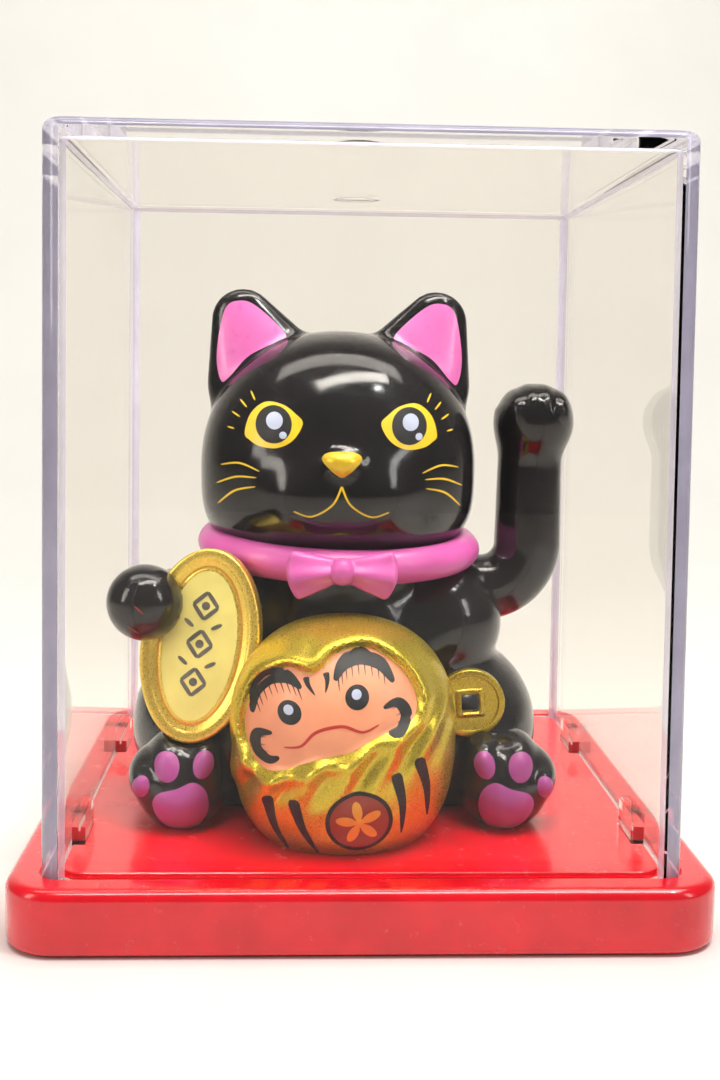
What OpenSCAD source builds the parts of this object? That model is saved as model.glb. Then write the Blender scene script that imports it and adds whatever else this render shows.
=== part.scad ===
// Beckoning cat on a square base under a clear cover.
// The left arm swings on an axle with a magnet pendulum inside the hollow body.
// Millimetres. +Z is up, the cat looks along -Y, the origin is the middle of the base's underside.

/* [Base] */
// Side of the square base
base_w = 65; // [64:0.5:70]
// Height of the base
base_h = 6.1; // [6:0.1:7]
// Radius of the base's upright corners
base_corner_r = 5; // [3:0.5:6]
// Thickness of the tray's side walls
tray_wall = 1.8; // [1.4:0.1:2]
// Thickness of the tray's top
tray_top_t = 1.4; // [1.2:0.1:1.5]
// Thickness of the bottom plate
plate_t = 1.6; // [1.4:0.1:1.7]

/* [Cover] */
// Gap from the base's edge to the foot of the clear cover
cover_margin = 3.2; // [3:0.1:3.4]
// Height of the cover above the base
cover_h = 66.5; // [64:0.5:72]
// Wall thickness of the cover
cover_t = 1.5; // [1.2:0.1:1.6]
// How far each wall leans inwards over its height
cover_draft = 0.9; // [0:0.1:1.2]
// Width of one clip tab
clip_w = 5.6; // [4:0.1:6]

/* [Cat] */
// Sideways place of the cat's middle on the base
cat_x = -2; // [-2.5:0.1:-1.5]
// Width of the head
head_w = 29.4; // [28:0.1:30]
// Depth of the head
head_d = 25; // [23:0.1:26]
// Height of the head without its ears
head_h = 22.9; // [22:0.1:23.5]
// Wall thickness of the moulded shells
shell_t = 1.4; // [1.2:0.1:1.5]
// Width over the haunches
haunch_span = 44.3; // [42:0.1:45]

/* [Waving arm] */
// Height of the axle
axle_z = 28; // [27.8:0.1:28.2]
// Depth place of the axle
axle_y = 0.3; // [0.1:0.1:0.5]
// Radius of the upper arm
arm_r = 3.6; // [3.4:0.1:3.7]
// Sideways place of the forearm
forearm_x = 18.8; // [18.6:0.1:19.2]
// Height of the paw's middle
paw_z = 46.2; // [44:0.1:47]
// Diameter of the magnet
magnet_d = 8; // [7:0.1:8]

/* [What the cat holds] */
// Height of the oval coin
koban_h = 19.4; // [18:0.1:20]
// Width of the oval coin
koban_w = 11.8; // [11:0.1:12]
// Width of the round doll
doll_w = 22.1; // [21:0.1:22.4]
// Diameter of the coin with the square hole
round_coin_d = 6.8; // [6:0.1:7]

/* [Hidden] */

round_fn = 64;
hull_fn = 32;
big = 200;
gap = 0.15;

// Base
groove_depth = 0.4;
groove_slack = 0.15;
base_screw_at = base_w / 2 - 7.5;
screw_r = 0.8;
screw_head_r = 1.8;
screw_head_h = 0.9;
boss_r = 2.3;
coil_x = -1;
coil_hole_r = 4.5;

// Cover
cover_half = base_w / 2 - cover_margin;
cover_corner_r = 2;
clip_t = 1.3;
clip_y = [-17.3, 13.6];
clip_bottom_z = plate_t + 0.5;
clip_top_z = base_h + 3;
clip_slack = 0.25;

// Solar cell behind the cat
panel_size = [30, 10.6, 1.5];
panel_y = 20.7;

// Drive electronics
board_size = [20, 18, 0.8];
board_z = plate_t + 0.4;
board_top = board_z + board_size[2];
chip_size = [5, 4, 1];
capacitor_r = 1.35;
capacitor_len = 7;
lead_r = 0.4;
lead_x = [-2.2, 2.2];
bobbin_r = 4.2;
bobbin_top = base_h + 2.3;
winding_r = 3.9;
core_r = 1.6;
flange_t = 0.6;

// Body: each blob is [centre, size]
torso = [[cat_x, axle_y, 20], [31, 25, 29]];
hips = [[cat_x, axle_y, 12], [38, 25.2, 24]];
haunch_size = [19.8, 24.8, 19.8];
haunch_dx = (haunch_span - haunch_size[0]) / 2;
haunches = [for (s = [-1, 1]) [[cat_x + s * haunch_dx, axle_y, 12.8], haunch_size]];
shoulder = [[9.4, -2.6, 24.6], [11.8, 12.6, 11.6]];
foot_size = [9.5, 10.4, 10.6];
right_foot_c = [-18.2, -13, 11.2];
left_foot_c = [15.2, -13, 11.2];
tail = [[cat_x, 12.4, 13], [6, 5.6, 9]];
foot_back_y = -12.25;
neck_size = [22.6, 19.4];
neck_y = -2;
neck_z = 33;
socket_x = 12.2;
socket_r = arm_r + 0.4;
socket_wall = 1.1;

// Head
head_c = [cat_x - 0.1, -2, neck_z + 0.05 + head_h / 2 - 0.3];
head_split_y = -1;
muzzle = [[cat_x - 0.1, -11.6, 39.9], [12, 7, 7.5]];
ear_r = 5.9;
ear_tip_r = 1.7;
ear_len = 11.2;
ear_flat = 0.55;
ear_dx = 8.4;
ear_z = 48.2;
ear_lean = 12;

// Collar and bow
collar_r = 13.35;
collar_tube_r = 1.75;
collar_flat = 0.86;
collar_z = 33.1;
collar_tilt = 4;
bow_c = [cat_x, -16.05, 32.2];
bow_half = 5.5;
bow_knot_r = 1.4;
bow_t = 2;

// Held things
koban_c = [-15.8, -14.1, 24.3];
koban_t = 2.2;
koban_turn = [-8, 8, -10];
paw_c = [-21.3, -14.2, 28.6];
paw_r = 3.7;
arm_root = [-16.6, -5.4, 27.2];
peg_r = 1.2;
doll_c = [-1.7, -16.3, 16.4];
doll_flat = 0.92;
doll_up = 11.4;
doll_down = 12.5;
doll_power = 2.6;
doll_back_y = -14.05;
doll_notch = [-9.5, -17.2, 13];
round_coin_c = [11.6, -13.35, 18.4];
round_coin_t = 1.1;
square_hole = 1.8;

// Swinging parts
axle_r = 0.75;
axle_end_x = socket_x + 5;
bush_play = 0.05;
bush_r = 1.5;
upright_x = [-6.6, 4.6];
upright_t = 2;
upright_w = 5;
magnet_h = 3;
magnet_z = 9.6;
pendulum_x = -1;
elbow_r = 5;
forearm_r = 3.5;
chassis_t = 1.5;
chassis_size = [26, 11.6];
chassis_screw_dx = 10.8;

// ---- shared shapes ----

// A box from its lowest corner to its highest
module box(low, high) {
  translate(low) cube(high - low);
}

// An egg shape from its centre and its full sizes
module egg(blob, grow = 0) {
  translate(blob[0])
    scale((blob[1] + [1, 1, 1] * 2 * grow) / 2)
      sphere(r = 1, $fn = round_fn);
}

// A round bar along +X
module bar_x(x0, x1, r) {
  translate([x0, axle_y, axle_z])
    rotate([0, 90, 0])
      cylinder(r = r, h = x1 - x0, $fn = round_fn);
}

// A round bar between two points
module rod(a, b, r) {
  v = b - a;
  len = norm(v);
  translate(a)
    rotate([0, acos(v[2] / len), atan2(v[1], v[0])])
      cylinder(r = r, h = len, $fn = hull_fn);
}

// Everything above or below a height, and in front of or behind a plane
module below(z) { box([-big, -big, -big], [big, big, z]); }
module above(z) { box([-big, -big, z], [big, big, big]); }
module in_front(y) { box([-big, -big, -big], [big, y, big]); }
module behind(y) { box([-big, y, -big], [big, big, big]); }

// A plate with round upright corners, standing on height z
module round_plate(w, r, z, h) {
  translate([0, 0, z])
    linear_extrude(h) {
      square([w - 2 * r, w], center = true);
      square([w, w - 2 * r], center = true);
      for (x = [-1, 1], y = [-1, 1])
        translate([x, y] * (w / 2 - r)) circle(r = r, $fn = round_fn);
    }
}

module at_base_corners() {
  for (x = [-1, 1], y = [-1, 1])
    translate([x, y, 0] * base_screw_at) children();
}

module at_chassis_screws() {
  for (s = [-1, 1])
    translate([coil_x + s * chassis_screw_dx, axle_y, 0]) children();
}

// ---- base ----

module base_tray() {
  color("crimson")
    difference() {
      union() {
        difference() {
          round_plate(base_w, base_corner_r, 0, base_h);
          round_plate(base_w - 2 * tray_wall, base_corner_r - tray_wall, -1, base_h - tray_top_t + 1);
        }
        at_base_corners() box([0, 0, plate_t] - [boss_r, boss_r, 0], [boss_r, boss_r, base_h - tray_top_t]);
        at_chassis_screws()
          translate([0, 0, board_top + 0.3]) cylinder(r = 2, h = base_h - tray_top_t - board_top - 0.3, $fn = 48);
      }
      cover_groove();
      clip_slots();
      translate([coil_x, axle_y, 0]) cylinder(r = coil_hole_r, h = base_h + 1, $fn = round_fn);
      at_base_corners() cylinder(r = screw_r, h = base_h - 1, $fn = hull_fn);
      at_chassis_screws() cylinder(r = screw_r, h = base_h + 1, $fn = hull_fn);
      for (x = lead_x) translate([x, panel_y, 0]) cylinder(r = lead_r + 0.3, h = base_h + 1, $fn = hull_fn);
    }
}

module cover_groove() {
  w_out = 2 * (cover_half + groove_slack);
  w_in = 2 * (cover_half - cover_t - groove_slack);
  difference() {
    round_plate(w_out, cover_corner_r + groove_slack, base_h - groove_depth, 1);
    round_plate(w_in, cover_corner_r - cover_t + 0.1, base_h - groove_depth - 1, 3);
  }
}

// One clip tab's block, on side s of the base, grown by a slack for its slot
module clip_block(s, y, z0, z1, slack = 0) {
  x0 = cover_half - cover_t - clip_t + 0.2;
  x1 = cover_half - cover_t + 0.2;
  mirror([s < 0 ? 1 : 0, 0, 0])
    box([x0 - slack, y - clip_w / 2 - slack, z0], [x1 + slack, y + clip_w / 2 + slack, z1]);
}

module clip_slots() {
  for (s = [-1, 1], y = clip_y)
    clip_block(s, y, base_h - tray_top_t - 1, base_h + 1, clip_slack);
}

module bottom_plate() {
  w = base_w - 2 * tray_wall - 2 * gap;
  color("crimson")
    difference() {
      union() {
        round_plate(w, base_corner_r - tray_wall - gap, 0, plate_t);
        for (x = [-1, 1], y = [-1, 1])
          translate([coil_x + x * 8, axle_y + y * 7, plate_t]) cylinder(r = 1.2, h = 0.4, $fn = hull_fn);
      }
      at_base_corners() {
        translate([0, 0, -1]) cylinder(r = screw_r + 0.25, h = plate_t + 2, $fn = hull_fn);
        translate([0, 0, -1]) cylinder(r = screw_head_r + 0.2, h = screw_head_h + 1.1, $fn = hull_fn);
      }
    }
}

// A pan-head screw pointing up, its head on height z, or pointing down if turned over
module screw(len) {
  difference() {
    union() {
      cylinder(r = screw_head_r, h = screw_head_h, $fn = hull_fn);
      cylinder(r = screw_r - 0.02, h = screw_head_h + len, $fn = hull_fn);
    }
    for (a = [0, 90])
      rotate([0, 0, a]) box([-1.1, -0.2, -1], [1.1, 0.2, 0.45]);
  }
}

module base_screws() {
  color("silver")
    at_base_corners() translate([0, 0, 0.1]) screw(3);
}

// ---- electronics ----

module solar_panel() {
  p = panel_size;
  color("midnightblue")
    difference() {
      translate([0, panel_y, base_h]) box([-p[0] / 2, -p[1] / 2, 0], [p[0] / 2, p[1] / 2, p[2]]);
      translate([0, panel_y, base_h + p[2] - 0.25])
        box([-p[0] / 2 + 0.8, -p[1] / 2 + 0.8, 0], [p[0] / 2 - 0.8, p[1] / 2 - 0.8, 1]);
    }
}

// The two wires drop from the cell, run forwards under the tray's top and end on the board
module panel_leads() {
  z = base_h - tray_top_t - 1.1;
  color("firebrick")
    for (x = lead_x) {
      route = [[x, panel_y, base_h], [x, panel_y, z], [x, 14, z], [x, 9.2, board_top + lead_r]];
      for (i = [0 : len(route) - 2]) rod(route[i], route[i + 1], lead_r);
      for (i = [1, 2]) translate(route[i]) sphere(r = lead_r + 0.04, $fn = hull_fn);
    }
}

module circuit_board() {
  b = board_size;
  color("darkgreen")
    translate([coil_x, axle_y, board_z])
      box([-b[0] / 2, -b[1] / 2, 0], [b[0] / 2, b[1] / 2, b[2]]);
}

module driver_chip() {
  c = chip_size;
  color("dimgray")
    translate([coil_x + 6.8, axle_y - 5, board_top])
      box([-c[0] / 2, -c[1] / 2, 0], [c[0] / 2, c[1] / 2, c[2]]);
}

module capacitor() {
  color("steelblue")
    translate([coil_x + board_size[0] / 2 + 4, axle_y, plate_t + capacitor_r])
      rotate([0, 90, 0]) cylinder(r = capacitor_r, h = capacitor_len, $fn = 48);
}

module coil_bobbin() {
  color("white")
    translate([coil_x, axle_y, board_top]) {
      cylinder(r = bobbin_r, h = flange_t, $fn = round_fn);
      cylinder(r = core_r, h = bobbin_top - board_top, $fn = round_fn);
      translate([0, 0, bobbin_top - board_top - flange_t]) cylinder(r = bobbin_r, h = flange_t, $fn = round_fn);
    }
}

module coil_winding() {
  z0 = board_top + flange_t;
  color("peru")
    translate([coil_x, axle_y, z0])
      difference() {
        cylinder(r = winding_r, h = bobbin_top - flange_t - z0, $fn = round_fn);
        translate([0, 0, -1]) cylinder(r = core_r, h = base_h + 2, $fn = round_fn);
      }
}

// ---- inner chassis ----

module chassis() {
  color("ivory")
    difference() {
      union() {
        translate([coil_x, axle_y, base_h])
          box([-chassis_size[0], -chassis_size[1], 0] / 2, [chassis_size[0], chassis_size[1], 2 * chassis_t] / 2);
        for (x = upright_x) {
          box([x - upright_t / 2, axle_y - upright_w / 2, base_h], [x + upright_t / 2, axle_y + upright_w / 2, axle_z]);
          bar_x(x - upright_t / 2, x + upright_t / 2, upright_w / 2 - 0.3);
        }
      }
      translate([coil_x, axle_y, 0]) cylinder(r = coil_hole_r, h = 2 * base_h, $fn = round_fn);
      bar_x(-big, big, bush_r);
      at_chassis_screws() cylinder(r = screw_r + 0.2, h = 2 * base_h, $fn = hull_fn);
    }
}

module chassis_screws() {
  color("silver")
    at_chassis_screws()
      translate([0, 0, base_h + chassis_t + screw_head_h]) rotate([180, 0, 0]) screw(3.8);
}

module axle_bushes() {
  color("goldenrod")
    for (x = upright_x)
      difference() {
        bar_x(x - upright_t / 2, x + upright_t / 2, bush_r);
        bar_x(-big, big, axle_r + bush_play);
      }
}

// ---- body ----

// The neck disc that carries the head
module neck(grow, top) {
  translate([cat_x, neck_y, top - 4])
    scale([neck_size[0] / 2 + grow, neck_size[1] / 2 + grow, 1])
      cylinder(r = 1, h = 4, $fn = round_fn);
}

module body_blobs(grow) {
  for (b = concat([torso, hips, shoulder], haunches)) egg(b, grow);
}

module body_shell() {
  difference() {
    union() {
      body_blobs(0);
      neck(0, neck_z);
      children();
    }
    difference() {
      body_blobs(-shell_t);
      bar_x(socket_x - socket_wall, big, socket_r + socket_wall);
      above(neck_z - 1.4);
    }
    below(base_h);
    above(neck_z);
    bar_x(socket_x, big, socket_r);
    bar_x(0, big, axle_r + 0.35);
    arm_peg(gap);
  }
}

module body_front_shell() {
  color("black")
    difference() {
      body_shell();
      behind(axle_y);
    }
}

module body_rear_shell() {
  color("black")
    difference() {
      body_shell() egg(tail);
      in_front(axle_y);
    }
}

// A hind foot with its sole to the front and a flat back against the haunch
module foot(centre) {
  color("black")
    difference() {
      egg([centre, foot_size]);
      below(base_h);
      behind(foot_back_y);
      koban_room();
    }
}

module right_foot() { foot(right_foot_c); }
module left_foot() { foot(left_foot_c); }

// ---- head ----

module ear(side) {
  translate([cat_x + side * ear_dx, head_split_y, ear_z])
    rotate([0, side * ear_lean, 0])
      scale([1, ear_flat, 1]) {
        cylinder(r1 = ear_r, r2 = ear_tip_r, h = ear_len - ear_tip_r, $fn = round_fn);
        translate([0, 0, ear_len - ear_tip_r]) sphere(r = ear_tip_r, $fn = round_fn);
      }
}

module head_shell() {
  skull = [head_c, [head_w, head_d, head_h]];
  difference() {
    union() {
      egg(skull);
      egg(muzzle);
      ear(-1);
      ear(1);
    }
    difference() {
      egg(skull, -shell_t);
      below(neck_z + shell_t);
    }
    below(neck_z + 0.05);
  }
}

module head_front_shell() {
  color("black")
    difference() {
      head_shell();
      behind(head_split_y);
    }
}

module head_rear_shell() {
  color("black")
    difference() {
      head_shell();
      in_front(head_split_y);
    }
}

// ---- collar and bow ----

module collar() {
  color("orchid")
    translate([cat_x, neck_y, collar_z])
      rotate([collar_tilt, 0, 0])
        scale([1, collar_flat, 1])
          rotate_extrude($fn = round_fn) translate([collar_r, 0]) circle(r = collar_tube_r, $fn = hull_fn);
}

module bow_tie() {
  color("orchid")
    translate(bow_c)
      rotate([90, 0, 0]) {
        translate([0, 0, -bow_t / 2])
          linear_extrude(bow_t)
            for (s = [-1, 1]) polygon([[0, -0.9], [s * bow_half, -2.7], [s * bow_half, 2.5], [0, 0.9]]);
        translate([0, 0, -bow_t / 2]) cylinder(r = bow_knot_r, h = bow_t + 0.5, $fn = round_fn);
      }
}

// ---- what the cat holds ----

module koban_pose() {
  translate(koban_c) rotate(koban_turn) rotate([90, 0, 0]) children();
}

// An oval disc about the coin's middle, seen from the front along +Z
module oval(w, h, z0, z1) {
  translate([0, 0, z0]) scale([w / 2, h / 2, 1]) cylinder(r = 1, h = z1 - z0, $fn = round_fn);
}

module koban_room() {
  koban_pose() oval(koban_w + 2 * gap, koban_h + 2 * gap, -koban_t / 2 - gap, koban_t / 2 + gap);
}

// The slot in the paw that the oval coin's left edge sits in
module koban_slot() {
  t = koban_t / 2 + gap;
  koban_pose() box([-koban_w / 2 - 2 * gap, -koban_h, -t], [koban_w, koban_h, t]);
}

module koban_coin() {
  color("gold")
    koban_pose()
      difference() {
        oval(koban_w, koban_h, -koban_t / 2, koban_t / 2);
        oval(koban_w - 1.6, koban_h - 1.6, koban_t / 2 - 0.4, koban_t);
      }
}

// The peg that holds the fixed arm in the front shell
module arm_peg(slack) {
  translate([arm_root[0] - 0.5, arm_root[1], arm_root[2]])
    rotate([0, 90, 0]) cylinder(r = peg_r + slack, h = 4.5, $fn = hull_fn);
}

module right_arm() {
  color("black")
    difference() {
      union() {
        translate(paw_c) sphere(r = paw_r, $fn = round_fn);
        rod(arm_root, paw_c, 3.1);
        arm_peg(0);
      }
      koban_slot();
    }
}

// Half width of the doll at a height above its middle
function doll_half(z) =
  doll_w / 2 * pow(1 - pow(abs(z) / (z > 0 ? doll_up : doll_down), doll_power), 1 / doll_power);

module daruma_doll() {
  floor_z = base_h + 0.05 - doll_c[2];
  steps = 16;
  rim = [for (i = [0 : steps - 1]) let (z = floor_z + (doll_up - floor_z) * sin(90 * i / steps)) [doll_half(z), z]];
  color("gold")
    difference() {
      translate(doll_c)
        scale([1, doll_flat, 1])
          rotate_extrude($fn = round_fn) polygon(concat([[0, floor_z]], rim, [[0, doll_up]]));
      behind(doll_back_y);
      box([-big, doll_notch[1], doll_notch[2]], [doll_notch[0], big, big]);
    }
}

module square_hole_coin() {
  r = round_coin_d / 2;
  color("gold")
    difference() {
      translate(round_coin_c)
        rotate([90, 0, 0])
          difference() {
            translate([0, 0, -round_coin_t / 2]) cylinder(r = r, h = round_coin_t, $fn = round_fn);
            translate([0, 0, round_coin_t / 2 - 0.3])
              difference() {
                cylinder(r = r - 0.7, h = 1, $fn = round_fn);
                translate([0, 0, 0.5]) cube([square_hole + 0.9, square_hole + 0.9, 2], center = true);
              }
            cube([square_hole, square_hole, big], center = true);
          }
      egg([left_foot_c, foot_size], gap);
    }
}

// ---- swinging arm and pendulum ----

module left_arm() {
  stub_x = socket_x + 0.3;
  bend_x = forearm_x - elbow_r;
  color("black")
    difference() {
      union() {
        bar_x(stub_x, bend_x, arm_r);
        translate([bend_x, axle_y, axle_z + elbow_r])
          rotate([90, 0, 0])
            rotate([0, 0, -90])
              rotate_extrude(angle = 90, $fn = round_fn) translate([elbow_r, 0]) circle(r = arm_r, $fn = round_fn);
        translate([forearm_x, axle_y, axle_z + elbow_r])
          cylinder(r1 = arm_r, r2 = forearm_r, h = paw_z - axle_z - elbow_r, $fn = round_fn);
        egg([[forearm_x + 0.3, axle_y - 0.4, paw_z], [8.6, 9.4, 8.4]]);
      }
      bar_x(0, axle_end_x, axle_r);
    }
}

module arm_axle() {
  color("silver")
    bar_x(upright_x[0] - upright_t, axle_end_x, axle_r);
}

module pendulum_bar() {
  w = 2.4;
  t = 1.6;
  color("ivory")
    difference() {
      union() {
        bar_x(pendulum_x - w / 2, pendulum_x + w / 2, 2);
        box([pendulum_x - w / 2, axle_y - t / 2, magnet_z + magnet_h], [pendulum_x + w / 2, axle_y + t / 2, axle_z]);
        translate([pendulum_x, axle_y, magnet_z + magnet_h]) cylinder(r = magnet_d / 2, h = 0.8, $fn = round_fn);
      }
      bar_x(-big, big, axle_r);
    }
}

module pendulum_magnet() {
  color("silver")
    translate([pendulum_x, axle_y, magnet_z]) cylinder(r = magnet_d / 2, h = magnet_h, $fn = round_fn);
}

// ---- clear cover ----

// A block with round upright edges that narrows by draft at its top
module tapered_block(half, r, z0, z1, draft) {
  slice = 0.01;
  hull()
    for (x = [-1, 1], y = [-1, 1]) {
      translate([x * (half - r), y * (half - r), z0]) cylinder(r = r, h = slice, $fn = hull_fn);
      translate([x * (half - r - draft), y * (half - r - draft), z1 - slice]) cylinder(r = r, h = slice, $fn = hull_fn);
    }
}

module case_cover() {
  z0 = base_h - groove_depth;
  z1 = base_h + cover_h;
  color("lavender", 0.4)
    union() {
      difference() {
        tapered_block(cover_half, cover_corner_r, z0, z1, cover_draft);
        tapered_block(cover_half - cover_t, cover_corner_r - cover_t + 0.3, z0 - 1, z1 - cover_t, cover_draft);
      }
      for (s = [-1, 1], y = clip_y) clip_block(s, y, clip_bottom_z, clip_top_z);
    }
}

base_tray();
bottom_plate();
base_screws();
solar_panel();
panel_leads();
circuit_board();
driver_chip();
capacitor();
coil_bobbin();
coil_winding();
chassis();
chassis_screws();
axle_bushes();
body_front_shell();
body_rear_shell();
right_foot();
left_foot();
head_front_shell();
head_rear_shell();
collar();
bow_tie();
right_arm();
koban_coin();
daruma_doll();
square_hole_coin();
left_arm();
arm_axle();
pendulum_bar();
pendulum_magnet();
case_cover();
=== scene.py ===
"""Looks for the beckoning cat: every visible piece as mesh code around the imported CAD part.

Shapes are worked out in millimetres in the CAD frame (+Z up, the cat looks along -Y) and scaled to metres
when a mesh is made. Smooth bodies are implicit fields, negative inside, meshed on a grid.
"""

import math

import bmesh
import bpy
import numpy as np
from mathutils import Matrix, Vector


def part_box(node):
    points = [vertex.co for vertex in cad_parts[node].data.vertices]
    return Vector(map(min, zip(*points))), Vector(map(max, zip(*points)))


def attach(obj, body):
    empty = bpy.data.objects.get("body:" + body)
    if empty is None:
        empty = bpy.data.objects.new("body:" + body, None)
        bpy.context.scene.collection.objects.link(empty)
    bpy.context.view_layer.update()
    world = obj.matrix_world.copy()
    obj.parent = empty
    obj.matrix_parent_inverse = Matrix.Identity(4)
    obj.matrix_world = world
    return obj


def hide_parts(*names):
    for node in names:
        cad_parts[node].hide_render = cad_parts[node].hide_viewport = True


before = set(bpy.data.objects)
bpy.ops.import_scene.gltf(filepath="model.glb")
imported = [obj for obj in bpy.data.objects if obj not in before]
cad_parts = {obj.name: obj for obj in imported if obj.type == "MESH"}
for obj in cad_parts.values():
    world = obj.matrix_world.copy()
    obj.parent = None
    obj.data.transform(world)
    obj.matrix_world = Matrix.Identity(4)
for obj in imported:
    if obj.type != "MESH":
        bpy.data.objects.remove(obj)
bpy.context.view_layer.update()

MM = 0.001


def box_mm(node):
    low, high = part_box(node)
    return np.array(low) / MM, np.array(high) / MM


# ---- fields: each maps points (n, 3) to a rough distance, negative inside ----


def egg(centre, size):
    centre, half = np.array(centre, float), np.array(size, float) / 2

    def field(p):
        q = (p - centre) / half
        k0 = np.linalg.norm(q, axis=-1)
        k1 = np.linalg.norm(q / half, axis=-1)
        return k0 * (k0 - 1) / np.maximum(k1, 1e-9)

    return field


def superegg(centre, half, up, down, power_up, power_down):
    """An ellipse in plan and a superellipse in profile, with its own height above and below its widest level."""
    centre = np.array(centre, float)
    scale = (half[0] + half[1] + up + down) / 4

    def field(p):
        q = p - centre
        r = np.hypot(q[..., 0] / half[0], q[..., 1] / half[1])
        above = q[..., 2] > 0
        h = np.where(above, q[..., 2] / up, -q[..., 2] / down)
        n = np.where(above, power_up, power_down)
        return ((r**n + h**n) ** (1 / n) - 1) * scale

    return field


def round_cone(a, b, r1, r2, flat=1.0):
    """A cone with ball ends, thinned along Y by flat."""
    a, b = np.array(a, float), np.array(b, float)
    ba = b - a
    l2 = ba @ ba
    rr = r1 - r2
    a2 = l2 - rr * rr

    def field(p):
        q = p - a
        q = np.stack([q[..., 0], q[..., 1] / flat, q[..., 2]], -1)
        y = q @ ba
        z = y - l2
        x2 = ((q * l2 - y[..., None] * ba) ** 2).sum(-1)
        k = np.sign(rr) * rr * rr * x2
        side = (np.sqrt(x2 * a2 / l2) + y * rr) / l2 - r1
        near_b = np.sqrt(x2 + z * z * l2) / l2 - r2
        near_a = np.sqrt(x2 + y * y * l2) / l2 - r1
        d = np.where(np.sign(z) * a2 * z * z * l2 > k, near_b, side)
        return np.where(np.sign(y) * a2 * y * y * l2 < k, near_a, d)

    return field


def bar_x(x0, x1, y, z, r):
    def field(p):
        d = np.hypot(p[..., 1] - y, p[..., 2] - z) - r
        return np.maximum(d, np.maximum(x0 - p[..., 0], p[..., 0] - x1))

    return field


def smooth_min(a, b, k):
    h = np.clip(0.5 + 0.5 * (b - a) / k, 0, 1)
    return b * (1 - h) + a * h - k * h * (1 - h)


def join(fields, k):
    def field(p):
        d = fields[0](p)
        for other in fields[1:]:
            d = smooth_min(d, other(p), k)
        return d

    return field


def carve(field, tool, k):
    return lambda p: -smooth_min(-field(p), tool(p), k)


def grown(field, by):
    return lambda p: field(p) - by


SLOPE_STEP = 0.02


def slope(field, p):
    steps = np.eye(3) * SLOPE_STEP
    return np.stack([(field(p + s) - field(p - s)) / (2 * SLOPE_STEP) for s in steps], -1)


def even(field):
    """The same surface with the field's slope close to 1 around it."""

    def out(p):
        g = np.linalg.norm(slope(field, p), axis=-1)
        return field(p) / np.maximum(g, 0.2)

    return out


# ---- meshes ----

SETTLE_ROUNDS = 3


def unpinched(v):
    """Grid values with no square whose corners alternate in and out, which would pinch the mesh."""
    for _ in range(4):
        for a, b in ((0, 1), (0, 2), (1, 2)):

            def corner(i, j, a=a, b=b):
                s = [slice(None)] * 3
                s[a], s[b] = slice(i, v.shape[a] - 1 + i), slice(j, v.shape[b] - 1 + j)
                return v[tuple(s)]

            c00, c10, c01, c11 = (corner(i, j) < 0 for i, j in ((0, 0), (1, 0), (0, 1), (1, 1)))
            mixed = (c00 == c11) & (c10 == c01) & (c00 != c10)
            corner(0, 0)[mixed & ~c00] = -1e-3
            corner(1, 0)[mixed & c00] = -1e-3
    return v


def settled(field, points, step):
    """Newton steps onto the surface, none longer than half a cell."""
    for _ in range(SETTLE_ROUNDS):
        g = slope(field, points)
        move = (field(points) / np.maximum((g * g).sum(-1), 0.05))[:, None] * g
        far = np.linalg.norm(move, axis=-1, keepdims=True)
        points = points - move * np.minimum(1, 0.5 * step / np.maximum(far, 1e-9))
    return points


def net(field, low, high, step):
    """A closed quad mesh of field = 0 inside a box, one vertex per crossed cell, settled on the surface."""
    axes = [np.arange(low[i], high[i] + step, step) for i in range(3)]
    p = np.stack(np.meshgrid(*axes, indexing="ij"), -1)
    v = unpinched(field(p))
    inside = v < 0
    n = np.array(v.shape)
    total = np.zeros((*(n - 1), 3))
    count = np.zeros(n - 1)
    edges = []
    for a in range(3):
        b, c = (a + 1) % 3, (a + 2) % 3
        v0 = np.take(v, range(n[a] - 1), axis=a)
        v1 = np.take(v, range(1, n[a]), axis=a)
        cross = (v0 < 0) != (v1 < 0)
        pos = np.take(p, range(n[a] - 1), axis=a).copy()
        pos[..., a] += np.where(cross, v0 / np.where(cross, v0 - v1, 1), 0) * step
        for db in (0, 1):
            for dc in (0, 1):
                s = [slice(None)] * 3
                s[b] = slice(db, db + n[b] - 1)
                s[c] = slice(dc, dc + n[c] - 1)
                hit = cross[tuple(s)]
                total += np.where(hit[..., None], pos[tuple(s)], 0)
                count += hit
        edges.append((a, b, c, cross))
    used = count > 0
    index = np.full(count.shape, -1)
    index[used] = np.arange(used.sum())
    points = total[used] / count[used][:, None]
    faces = []
    for a, b, c, cross in edges:
        s = [slice(None)] * 3
        s[b], s[c] = slice(1, n[b] - 1), slice(1, n[c] - 1)
        at = np.argwhere(cross[tuple(s)])
        at[:, b] += 1
        at[:, c] += 1
        quad = []
        for db, dc in ((1, 1), (0, 1), (0, 0), (1, 0)):
            cell = at.copy()
            cell[:, b] -= db
            cell[:, c] -= dc
            quad.append(index[tuple(cell.T)])
        quad = np.stack(quad, 1)
        back = ~inside[tuple(at.T)]
        quad[back] = quad[back][:, ::-1]
        faces.append(quad)
    return settled(field, points, step), np.concatenate(faces)


def to_bm(points, faces, flip=False):
    mesh = bpy.data.meshes.new("work")
    if flip:
        faces = [f[::-1] for f in faces]
    mesh.from_pydata(np.asarray(points).tolist(), [], [list(map(int, f)) for f in faces])
    bm = bmesh.new()
    bm.from_mesh(mesh)
    bpy.data.meshes.remove(mesh)
    return bm


def cut(bm, point, normal):
    """Takes away what lies on the normal's side of a plane and closes the hole."""
    geom = bm.verts[:] + bm.edges[:] + bm.faces[:]
    made = bmesh.ops.bisect_plane(bm, geom=geom, dist=1e-3, plane_co=point, plane_no=normal, clear_outer=True)
    rim = [e for e in made["geom_cut"] if isinstance(e, bmesh.types.BMEdge) and e.is_boundary]
    if rim:
        bmesh.ops.triangle_fill(bm, edges=rim, use_beauty=True, normal=normal)
    return bm


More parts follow.
